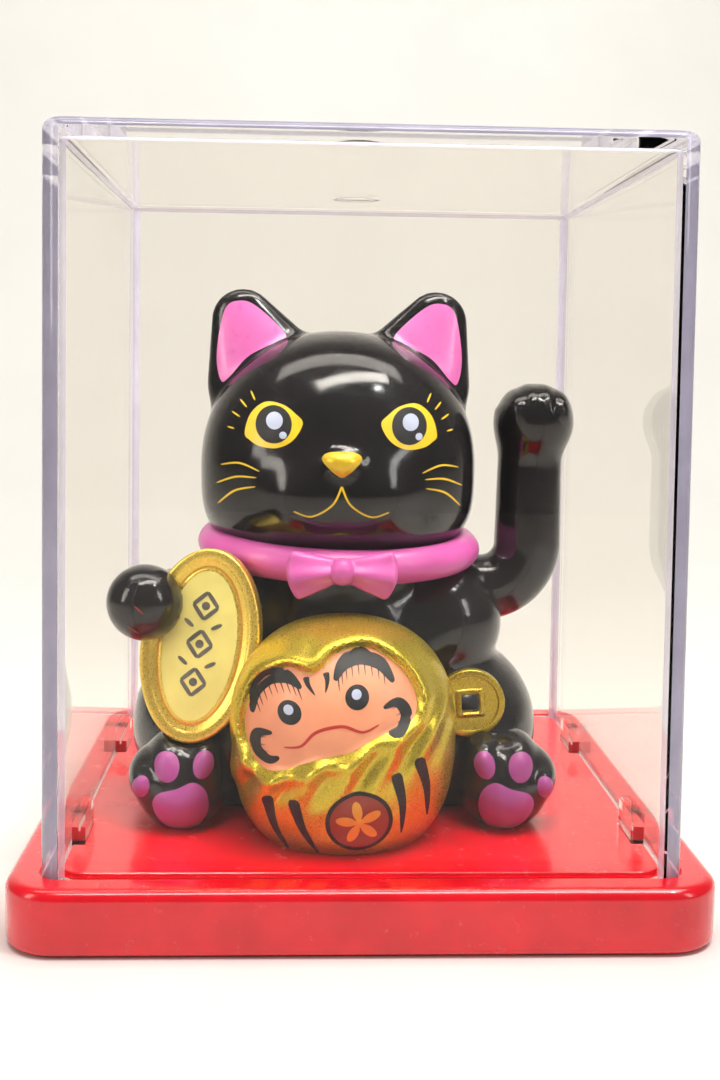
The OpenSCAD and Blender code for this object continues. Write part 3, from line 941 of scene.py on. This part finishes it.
def make_bow():
    """Two flared wings with soft pleats and a knot."""
    centre = middle_of("bow_tie") + np.array([0, 0, 0.1])

    def loop(side):
        def field(p):
            x = (p[..., 0] - centre[0]) * side
            u = np.clip((x - 0.4) / 5.0, 0, 1)
            half_h = 1.0 + 1.7 * u**0.8
            drop_z = -0.6 * u
            z = p[..., 2] - centre[2] - drop_z
            y = p[..., 1] - centre[1] + 0.2
            half_t = 0.75 + 0.55 * np.sin(math.pi * np.clip(u, 0, 1)) ** 0.8 + 0.2 * np.cos(z * 5.2 / half_h)
            d = (np.sqrt((z / half_h) ** 2 + (y / half_t) ** 2 + 1e-9) - 1) * np.minimum(half_h, half_t)
            end = x - (5.35 - 0.10 * z**2 + 0.16 * z)
            return np.maximum(-smooth_min(-d, -end, 0.5), 0.2 - x)

        return field

    knot = egg(centre + np.array([0, -0.8, 0.05]), (2.4, 2.5, 2.7))
    whole = join([join([loop(-1), loop(1)], 0.1), knot], 0.12)
    pts, faces = net(whole, centre - 7, centre + 7, 0.22)
    piece("bow_shape", to_bm(pts, faces), MAT["pink"], "root", ("bow_tie",))


# ---- coins ----


def koban_point(x, y, z):
    return KOBAN_C + KOBAN_M @ np.array([x, y, z])


def koban_rings(profile, count=96):
    """Rings of an oval disc from (inset, z) pairs in the coin's plane."""
    rings = []
    for inset, z in profile:
        ring = [koban_point((KOBAN_HALF[0] - inset) * math.cos(a), (KOBAN_HALF[1] - inset) * math.sin(a), z)
                for a in np.linspace(0, 2 * math.pi, count, endpoint=False)]
        rings.append(np.array(ring))
    return rings


def make_koban():
    """The tall coin: raised rim, groove, pale field and plain marks."""
    t = KOBAN_T / 2
    r = 0.35
    back = [(3.0, -t), (1.4, -t)]
    round_back = [(r * (1 - math.sin(a)), -t + r * (1 - math.cos(a))) for a in np.linspace(0, math.pi / 2, 5)]
    round_front = [(r * (1 - math.cos(a)), t - r + r * math.sin(a)) for a in np.linspace(0, math.pi / 2, 5)]
    front = [(0.95, t), (1.12, t - 0.1), (1.3, t - 0.22), (1.6, t - 0.26), (1.72, t - 0.34), (1.9, t - 0.34),
             (2.02, t - 0.26), (2.2, t - 0.24), (3.2, t - 0.22)]
    bm = loft(koban_rings(back + round_back + round_front + front), close=False)
    piece("koban_shape", bm, MAT["coin_gold"], "root", ("koban_coin",), sharp=50)

    def face(p):
        return in_koban(p)[..., 2] - (t - 0.225)

    def on_face(points):
        flat = np.array([koban_point(x, y, t - 0.22) for x, y in points])
        return flat[:, [0, 2]]

    a = np.linspace(0, 2 * math.pi, 72, endpoint=False)
    field_oval = [((KOBAN_HALF[0] - 2.25) * math.cos(b), (KOBAN_HALF[1] - 2.25) * math.sin(b)) for b in a]
    piece("koban_field", disc(face, on_face(field_oval), 0.015), MAT["field_yellow"])
    groove = [((KOBAN_HALF[0] - 1.8) * math.cos(b), (KOBAN_HALF[1] - 1.8) * math.sin(b)) for b in np.append(a, 0)]

    def groove_face(p):
        return in_koban(p)[..., 2] - (t - 0.335)

    groove_line = stroke(groove_face, on_face(groove), 0.22, 0.012, count=97)
    piece("koban_groove", groove_line, MAT["seal_gold"])
    marks = []
    for y in (4.0, 0.2, -3.6):
        lozenge = [(0, y + 1.35), (1.25, y), (0, y - 1.35), (-1.25, y), (0, y + 1.35)]
        for k in range(4):
            marks.append(stroke(face, on_face(lozenge[k:k + 2]), tapered(0.42, 0.6), 0.05, count=8))
        marks.append(disc(face, on_face([(0.42 * math.cos(b), y + 0.42 * math.sin(b)) for b in a[::4]]), 0.05))
    for s in (-1, 1):
        for y in (2.1, -1.7):
            ray = [(s * 0.9, y - 0.3), (s * 1.9, y + 0.35)]
            marks.append(stroke(face, on_face(ray), tapered(0.4), 0.05, count=8))
    piece("koban_marks", gather(marks), MAT["grey_ink"])


def make_square_coin():
    x, y, _ = middle_of("square_hole_coin")
    centre = np.array([x - 0.4, y, box_mm("square_hole_coin")[1][2] - 3.4])
    count, r, half_t, hole = 64, 3.5, 0.55, 0.9
    tilt = math.radians(4)

    def ring(radius, square, y):
        out = []
        for i in range(count):
            a = 2 * math.pi * (i + 0.5) / count
            big = max(abs(math.cos(a)), abs(math.sin(a)))
            k = radius * (1 - square) + square * radius / big
            x, z = k * math.cos(a), k * math.sin(a)
            out.append((centre[0] + x * math.cos(tilt) - z * math.sin(tilt), centre[1] + y,
                        centre[2] + x * math.sin(tilt) + z * math.cos(tilt)))
        return np.array(out)

    front = [(r, 0, -half_t + 0.2), (r - 0.06, 0, -half_t + 0.06), (r - 0.2, 0, -half_t), (r - 0.6, 0, -half_t),
             (r - 0.72, 0, -half_t + 0.22), (r - 1.2, 0.1, -half_t + 0.26), (hole + 0.6, 0.9, -half_t + 0.26),
             (hole + 0.42, 1, -half_t + 0.06), (hole + 0.15, 1, -half_t + 0.02), (hole, 1, -half_t + 0.15)]
    back = [(hole, 1, half_t), (r - 0.15, 0, half_t), (r, 0, half_t - 0.15)]
    bm = loft([ring(*v) for v in front + back])
    piece("square_coin_shape", bm, MAT["old_gold"], "root", ("square_hole_coin",), sharp=45)


# ---- the round doll ----

DOLL_C = np.array([(doll_low[0] + doll_high[0]) / 2, -16.3, doll_high[2] - 11.4])
DOLL_ROLL = math.radians(15)


def doll_plan(p):
    """Front coordinates about the doll's middle, turned upright: x across its face, z up."""
    x, z = p[..., 0] - DOLL_C[0], p[..., 2] - DOLL_C[2]
    c, s = math.cos(DOLL_ROLL), math.sin(DOLL_ROLL)
    return x * c + z * s, -x * s + z * c


def doll_spot(x, z):
    """The plan point (x, z) in the frame of a point given in the doll's upright coordinates."""
    c, s = math.cos(DOLL_ROLL), math.sin(DOLL_ROLL)
    return DOLL_C[0] + x * c - z * s, DOLL_C[2] + x * s + z * c


doll_plain = superegg(DOLL_C, (11.05, 10.17), 11.4, 12.5, 2.35, 2.6)

FACE_OUTLINE = curve([(-9.1, 2.2), (-8.8, 5.0), (-6.7, 8.0), (-3.5, 9.0), (-1.0, 8.2), (1.4, 9.2), (4.6, 8.8),
                      (7.1, 6.2), (7.9, 3.2), (6.8, 1.2), (3.4, 0.9), (0.3, 0.1), (-2.9, 0.2), (-6.0, -0.2),
                      (-8.3, 0.2)], 90, closed=True)
FACE_X, EYE_DX, EYE_Z = -0.9, 3.2, 5.0


def outline_distance(x, z, outline):
    """Distance to a closed outline in the plan, negative inside."""
    a = outline
    b = np.roll(outline, -1, 0)
    best = np.full(x.shape, 1e9)
    inside = np.zeros(x.shape, bool)
    for (ax, az), (bx, bz) in zip(a, b):
        ex, ez = bx - ax, bz - az
        t = np.clip(((x - ax) * ex + (z - az) * ez) / (ex * ex + ez * ez), 0, 1)
        best = np.minimum(best, (x - ax - t * ex) ** 2 + (z - az - t * ez) ** 2)
        crosses = ((az > z) != (bz > z)) & (x < ex * (z - az) / (ez if ez else 1e-9) + ax)
        inside ^= crosses
    return np.where(inside, -1, 1) * np.sqrt(best)


def doll_relief(p):
    """How far the surface stands proud of the plain doll: hood edge, sunk face and gathered folds."""
    x, z = doll_plan(p)
    d = outline_distance(x, z, FACE_OUTLINE)
    front = np.clip((DOLL_C[1] + 1.0 - p[..., 1]) / 2.0, 0, 1)
    sunk = -0.55 * np.clip(0.5 - d / 0.7, 0, 1)
    hood = 0.42 * np.exp(-(((d - 0.75) / 0.65) ** 2))
    under = np.clip((2.6 - z) / 2.5, 0, 1) * np.exp(-(((d - 1.7) / 1.9) ** 2))
    folds = 0.5 * under * np.sin((x - 0.8 * z) * 1.6)
    return (sunk + hood + folds) * front


def doll(p):
    return doll_plain(p) - doll_relief(p)


def make_doll():
    """The gold doll with its sunk face, brush strokes and flower seal."""
    field = carve(doll, koban_slab(0.1), 0.1)
    pts, faces = net(field, DOLL_C - np.array([12.5, 11.5, 13.5]), DOLL_C + np.array([12.5, 6.5, 12.5]), 0.26)
    bm = cut(cut(to_bm(pts, faces), (0, doll_high[1], 0), (0, 1, 0)), (0, 0, doll_low[2]), (0, 0, -1))
    piece("daruma_shape", bm, MAT["gold"], "root", ("daruma_doll",))

    def spots(points):
        return np.array([doll_spot(x, z) for x, z in points])

    def shrunk(outline, by):
        middle = outline.mean(0)
        v = outline - middle
        return middle + v * (1 - by / np.linalg.norm(v, axis=1, keepdims=True))

    skin = disc(doll, spots(shrunk(FACE_OUTLINE, 0.28)), 0.03, 0.0, 16)
    piece("daruma_face", skin, MAT["salmon"])
    ink, whites = [], []

    def paint(points, width, count):
        ink.append(stroke(doll, spots(points), width, 0.06, count))

    def hair(root, across, up, width):
        ink.append(stroke(doll, spots([root, root + np.array([across, up])]), pointed(width), 0.05, 6))

    for s in (-1, 1):

        def at(x, z, s=s):
            return FACE_X + s * x, z

        brow = [at(1.6, 6.9), at(2.7, 8.0), at(4.4, 8.2), at(6.0, 7.1), at(6.8, 5.2)]
        paint(brow, lambda u: 0.25 + 1.15 * math.sin(math.pi * u) ** 0.8, 36)
        for root in curve(brow, 60)[7:48:5]:
            hair(root, -s * 0.25, -1.5, 0.17)
        beard = [at(5.3, 3.4), at(6.7, 3.4), at(7.2, 2.1), at(6.3, 1.0), at(5.2, 1.1)]
        paint(beard, lambda u: 0.2 + 0.9 * math.sin(math.pi * u) ** 0.8, 28)
        for root in curve(beard, 60)[12:41:7]:
            hair(root, -s * 0.95, -0.1, 0.14)
        paint([at(0.95, 7.7), at(0.9, 7.0), at(0.5, 6.1)], pointed(0.65), 12)
        ink.append(disc(doll, spots(oval(at(EYE_DX, EYE_Z), 1.1, 1.1)), 0.06, 0.05))
        whites.append(disc(doll, spots(oval(at(EYE_DX, EYE_Z + 0.25), 0.45, 0.45)), 0.13, 0.02))
        for top, low in (((4.9, -2.8), (4.0, -9.0)), ((7.3, -2.2), (6.8, -8.4))):
            bend = ((top[0] + low[0]) / 2 + 0.35, (top[1] + low[1]) / 2)
            fold = spots([at(*v) for v in (top, bend, low)])
            ink.append(stroke(doll, fold, pointed(1.15), 0.05, count=20))
    smile = [(-4.5, 2.0), (-2.9, 1.9), (-1.2, 2.9), (1.2, 2.9), (2.9, 1.9), (4.5, 2.1)]
    mouth = stroke(doll, spots([(FACE_X + x, z) for x, z in smile]), tapered(0.3), 0.06, count=40)
    middle = doll_spot(-0.4, -6.4)
    ink.append(disc(doll, oval(middle, 3.15, 3.15, count=64), 0.03, 0, 8))
    seal = disc(doll, oval(middle, 2.75, 2.75, count=64), 0.055, 0, 8)
    petals = []
    for a in np.linspace(0.5, 0.5 + 2 * math.pi, 5, endpoint=False):
        at_petal = (middle[0] + 1.25 * math.cos(a), middle[1] + 1.25 * math.sin(a))
        petals.append(disc(doll, oval(at_petal, 0.95, 0.46, math.degrees(a)), 0.085))
    petals.append(disc(doll, oval(middle, 0.45, 0.45), 0.1, 0.05))
    piece("daruma_ink", gather(ink), MAT["ink"])
    piece("daruma_eye_glints", gather(whites), MAT["white"])
    piece("daruma_mouth", mouth, MAT["line_red"])
    piece("daruma_seal", seal, MAT["seal_red"])
    piece("daruma_seal_flower", gather(petals), MAT["seal_gold"])


# ---- the cat's face ----


def make_face():
    """The cat's painted eyes, lashes, whiskers, mouth and nose, and its ear linings."""
    eye_z, eye_dx = 46.15, 6.7
    yellow, ink, whites = [], [], []
    for s in (-1, 1):
        cx = CAT_X + s * eye_dx
        almond = [(cx + s * x, eye_z + z) for x, z in
                  ((2.9, -0.95), (2.35, 0.95), (0.9, 2.15), (-0.85, 1.95), (-2.1, 1.1), (-2.85, 0.15),
                   (-1.9, -1.5), (-0.3, -2.3), (1.4, -2.15), (2.4, -1.6))]
        yellow.append(disc(head, curve(almond, 60, closed=True), 0.03, 0.02, 6))
        ink.append(disc(head, oval((cx, eye_z), 1.8, 1.85), 0.06, 0.03, 5))
        whites.append(disc(head, oval((cx + 0.1, eye_z + 0.35), 0.82, 0.85), 0.11, 0.02, 4))
        whites.append(disc(head, oval((cx + 0.95, eye_z - 1.05), 0.36, 0.36, count=18), 0.11, 0.02, 3))
    for s in (-1, 1):
        cx = CAT_X + s * eye_dx
        for (x, z), (dx, dz) in (((2.15, 2.75), (0.45, 0.9)), ((3.1, 1.95), (0.7, 0.75)),
                                 ((3.85, 0.85), (0.85, 0.5)), ((4.35, -0.5), (0.7, 0.15))):
            a = (cx + s * (x - dx / 2), eye_z + z - dz / 2)
            b = (cx + s * (x + dx / 2), eye_z + z + dz / 2)
            yellow.append(stroke(head, [a, b], tapered(0.17), 0.03, count=6))
        for line in (((8.1, 41.5), (10.1, 42.2), (12.05, 41.9)), ((8.4, 40.85), (10.5, 40.8), (12.5, 40.0)),
                     ((8.5, 39.95), (10.6, 39.4), (12.4, 37.9))):
            yellow.append(stroke(head, [(CAT_X + s * x, z) for x, z in line], tapered(0.2), 0.03, count=20))
        mouth = [(CAT_X, 40.3), (CAT_X + s * 0.9, 38.5), (CAT_X + s * 2.9, 37.35), (CAT_X + s * 4.65, 37.8)]
        yellow.append(stroke(head, mouth, lambda u: 0.21 * (1 - 0.4 * u), 0.03, count=32))
    piece("eye_rings_and_lines", gather(yellow), MAT["yellow"])
    piece("pupils", gather(ink), MAT["ink"])
    piece("eye_glints", gather(whites), MAT["white"])
    nose = curve([(CAT_X + x, 42.5 + z) for x, z in
                  ((-1.95, 0.45), (-1.4, 1.05), (0, 1.2), (1.4, 1.05), (1.95, 0.45), (1.2, -0.5), (0.3, -1.2),
                   (-0.3, -1.2), (-1.2, -0.5))], 48, closed=True)
    piece("nose", disc(head, nose, 0.03, 0.45, 6), MAT["nose_gold"])
    ears = []
    for s in (-1, 1):
        base_x, tip_x = CAT_X + s * EAR_DX, CAT_X + s * EAR_TIP_DX
        outline = [(tip_x + s * x, z) for x, z in ((1.9, 57.6), (0.2, 58.6), (-1.6, 57.9))]
        outline += [(base_x + s * x, z) for x, z in
                    ((-1.7, 55.2), (-0.9, 54.4), (2.1, 52.8), (4.1, 50.6), (5.0, 50.3), (5.45, 53.0))]
        ears.append(disc(head, curve(outline, 60, closed=True), 0.02, 0.02, 8))
    piece("ear_linings", gather(ears), MAT["ear_pink"])


# ---- base and cover ----


COVER_WALL = 1.5
TAB_T, TAB_HALF_W, TAB_SUNK = 1.3, 2.8, 0.2


def tab_box(side, y, slack=0.0, low=2.1, high=9.1):
    """The low and high corners of a clip tab on one side."""
    x1 = cover_high[0] - COVER_WALL + TAB_SUNK
    x0 = x1 - TAB_T
    xs = sorted((side * (x0 - slack), side * (x1 + slack)))
    return (xs[0], y - TAB_HALF_W - slack, low), (xs[1], y + TAB_HALF_W + slack, high)


TABS = [(s, y) for s in (-1, 1) for y in (-17.3, 13.6)]


def block(low, high):
    bm = bmesh.new()
    bmesh.ops.create_cube(bm, size=1)
    low, high = np.array(low), np.array(high)
    bmesh.ops.scale(bm, vec=high - low, verts=bm.verts[:])
    bmesh.ops.translate(bm, vec=(low + high) / 2, verts=bm.verts[:])
    return bm


def make_base():
    """The red base: one lofted skin with the cover's groove, the coil's well and four slots cut through."""
    half = tray_high[0]
    r, wall = 5.0, 1.8
    under = BASE_TOP - 1.4
    top_r, foot_r = 1.1, 0.7
    groove_out, groove_in = cover_high[0] + 0.15, cover_high[0] - 1.65
    rings = [square_ring(half - wall, r - wall, 0.0)]
    for s, c in arc_steps(5):
        rings.append(square_ring(half - foot_r * (1 - s), r - foot_r * (1 - s), foot_r * (1 - c)))
    for s, c in arc_steps(8):
        rings.append(square_ring(half - top_r * (1 - c), r - top_r * (1 - c), BASE_TOP - top_r * (1 - s)))
    for inset, z in ((groove_out + 0.08, BASE_TOP), (groove_out, BASE_TOP - 0.08), (groove_out, BASE_TOP - 0.4),
                     (groove_in, BASE_TOP - 0.4), (groove_in, BASE_TOP - 0.08), (groove_in - 0.08, BASE_TOP)):
        rings.append(square_ring(inset, 2.1, z))
    rings += [circle_ring((-1, AXLE_Y), 4.6, BASE_TOP), circle_ring((-1, AXLE_Y), 4.5, BASE_TOP - 0.1),
              circle_ring((-1, AXLE_Y), 4.5, under), square_ring(half - wall, r - wall, under)]
    tray = piece("base_tray_shape", loft(rings), MAT["red"], "root", ("base_tray",), sharp=32)
    cutters = gather([block(*tab_box(s, y, 0.25, under - 1, BASE_TOP + 1)) for s, y in TABS])
    tool = as_object("slots", cutters, smooth=False)
    boolean = tray.modifiers.new("slots", "BOOLEAN")
    boolean.object = tool
    boolean.solver = "EXACT"
    bpy.context.view_layer.update()
    dg = bpy.context.evaluated_depsgraph_get()
    result = bpy.data.meshes.new_from_object(tray.evaluated_get(dg))
    tray.modifiers.clear()
    tray.data = result
    bpy.data.meshes.remove(tool.data)


def make_cover():
    """The clear cover: an outer and an inner skin with draft, a gate mark on top and four clip tabs."""
    z1 = cover_high[2]
    half, draft, t = cover_high[0], 0.9, COVER_WALL
    z_foot = BASE_TOP - 0.4
    corner, top_r = 2.0, 1.0

    def wall(inset, r, z):
        lean = draft * (z - z_foot) / (z1 - z_foot)
        return square_ring(half - lean - inset, r, z)

    gate = (0.0, 15.0)
    rings = [wall(0.1, corner - 0.1, z_foot + 0.01), wall(0, corner, z_foot + 0.12)]
    rings += [wall(0, corner, z_foot + (z1 - top_r - z_foot) * k / 4) for k in range(1, 4)]
    rings += [wall(top_r * (1 - c), corner - top_r * (1 - c), z1 - top_r * (1 - s)) for s, c in arc_steps(7)]
    rings.append(wall(top_r + 0.3, corner - top_r - 0.3, z1))
    rings += [circle_ring(gate, r, z1 - d) for r, d in
              ((3.0, 0), (2.6, 0), (2.4, 0.03), (1.7, 0.2), (0.9, 0.28), (0.3, 0.3))]
    outer = loft(rings, close=False)
    rings = [wall(t, 0.8, z_foot + 0.01)]
    rings += [wall(t, 0.8, z_foot + (z1 - t - 0.6 - z_foot) * k / 4) for k in range(1, 4)]
    rings += [wall(t + 0.5 * (1 - c), 0.8 - 0.5 * (1 - c), z1 - t - 0.5 * (1 - s)) for s, c in arc_steps(5)]
    rings.append(wall(t + 0.7, 0.2, z1 - t))
    inner = loft(rings, close=False)
    bm = bmesh.new()
    for skin in (outer, inner):
        skin.faces.ensure_lookup_table()
        foot = [f for f in skin.faces if len(f.verts) > 4 and f.calc_center_median().z < z_foot + 1]
        bmesh.ops.delete(skin, geom=foot, context="FACES_ONLY")
    add(bm, outer)
    bmesh.ops.reverse_faces(inner, faces=inner.faces[:])
    add(bm, inner)
    rim = [e for e in bm.edges if e.is_boundary]
    bmesh.ops.bridge_loops(bm, edges=rim)
    outer.free()
    inner.free()
    for s, y in TABS:
        low, high = tab_box(s, y)
        inward = 0.23
        xs = (low[0] + inward, high[0] + inward) if s < 0 else (low[0] - inward, high[0] - inward)
        tab = block((xs[0], low[1], low[2]), (xs[1], high[1], high[2]))
        bmesh.ops.bevel(tab, geom=tab.edges[:], offset=0.18, segments=2, affect="EDGES")
        add(bm, tab)
        tab.free()
    bmesh.ops.recalc_face_normals(bm, faces=bm.faces[:])
    for face in bm.faces:
        # the rounded faces take the edge material, a painted pale lavender glow
        face.material_index = int(max(abs(v) for v in face.normal) < 0.985)
    cover = piece("case_cover_shape", bm, MAT["clear"], "cover", ("case_cover",), sharp=25)
    cover.data.materials.append(MAT["edge"])


# ---- stage, lights and camera ----


def area(name, at, look, size, power, color):
    """A rectangle of light at one place, turned to another. Metres and watts."""
    data = bpy.data.lights.new(name, "AREA")
    data.shape = "RECTANGLE"
    data.size, data.size_y = size
    data.energy = power
    data.color = color
    obj = linked(name, data)
    obj.location = at
    obj.rotation_euler = (Vector(look) - Vector(at)).to_track_quat("-Z", "Y").to_euler()


def make_stage():
    floor = Paint("floor_paint")
    floor.color(floor.ramp(floor.noise(60), speckle((0.86, 0.84, 0.80), 0.02)))
    floor.rough(floor.noise(8), 0.5, 0.7)
    floor.bump(floor.noise(1.0), 0.01, 0.4)
    width, front, back, rise, r = 1.4, -0.5, 0.42, 1.1, 0.25
    profile = [(front, 0.0)] + [(back - r + r * s, r - r * c) for s, c in arc_steps(14)] + [(back, rise)]
    bm = bmesh.new()
    rows = [[bm.verts.new((x, y, z)) for y, z in profile] for x in (-width, width)]
    for i in range(len(profile) - 1):
        bm.faces.new((rows[0][i], rows[1][i], rows[1][i + 1], rows[0][i + 1]))
    sweep = as_object("studio_sweep", bm, floor.material, scale=1)
    sweep.location.z = -0.0002


def make_lights():
    world = bpy.data.worlds.new("studio")
    world.use_nodes = True
    sky = world.node_tree.nodes["Background"].inputs
    sky["Color"].default_value = (1.0, 0.965, 0.92, 1)
    sky["Strength"].default_value = 0.15
    bpy.context.scene.world = world
    middle = (0, 0, 0.035)
    for row in (
        ("ceiling_box", (0.05, -0.12, 0.42), middle, (0.34, 0.07), 1.2, (1, 0.98, 0.95)),
        ("left_box", (-0.42, -0.22, 0.22), middle, (0.10, 0.30), 0.5, (1, 0.97, 0.93)),
        ("right_box", (0.40, -0.30, 0.26), middle, (0.08, 0.26), 0.4, (0.97, 0.98, 1)),
        ("spark", (0.12, -0.11, 0.29), (0, 0, 0.05), (0.02, 0.012), 0.14, (0.93, 0.97, 1)),
        ("backdrop_box", (0.0, 0.05, 0.5), (0, 0.42, 0.12), (0.6, 0.2), 1.6, (1, 0.98, 0.94)),
    ):
        area(*row)


CAMERA_AT = (-6.22, -146.42, 52.31)
CAMERA_YAW, CAMERA_PITCH, CAMERA_ROLL = 0.0455, 0.1304, 0.0149
LENS, SENSOR = 45.07, 36


def make_camera():
    """A camera that stands a little left of the middle and looks slightly down."""
    yaw, pitch, roll = CAMERA_YAW, CAMERA_PITCH, CAMERA_ROLL
    ahead = Vector((math.sin(yaw) * math.cos(pitch), math.cos(yaw) * math.cos(pitch), -math.sin(pitch)))
    right = Vector((math.cos(yaw), -math.sin(yaw), 0))
    up = right.cross(ahead)
    right, up = right * math.cos(roll) + up * math.sin(roll), up * math.cos(roll) - right * math.sin(roll)
    data = bpy.data.cameras.new("camera")
    data.sensor_fit = "VERTICAL"
    data.sensor_height = SENSOR
    data.lens = LENS
    data.clip_start = 0.005
    obj = linked("camera", data)
    turn = Matrix((right, up, -ahead)).transposed().to_4x4()
    obj.matrix_world = Matrix.Translation(Vector(CAMERA_AT) * MM) @ turn
    bpy.context.scene.camera = obj


make_camera()
make_base()
make_head()
make_body()
make_foot("right_foot_shape", -17.8, -1, "right_foot")
make_foot("left_foot_shape", 14.75, 1, "left_foot")
make_right_arm()
make_left_arm()
make_collar()
make_bow()
make_koban()
make_square_coin()
make_doll()
make_face()
make_cover()
make_stage()
make_lights()
bpy.context.scene.view_settings.view_transform = "Standard"
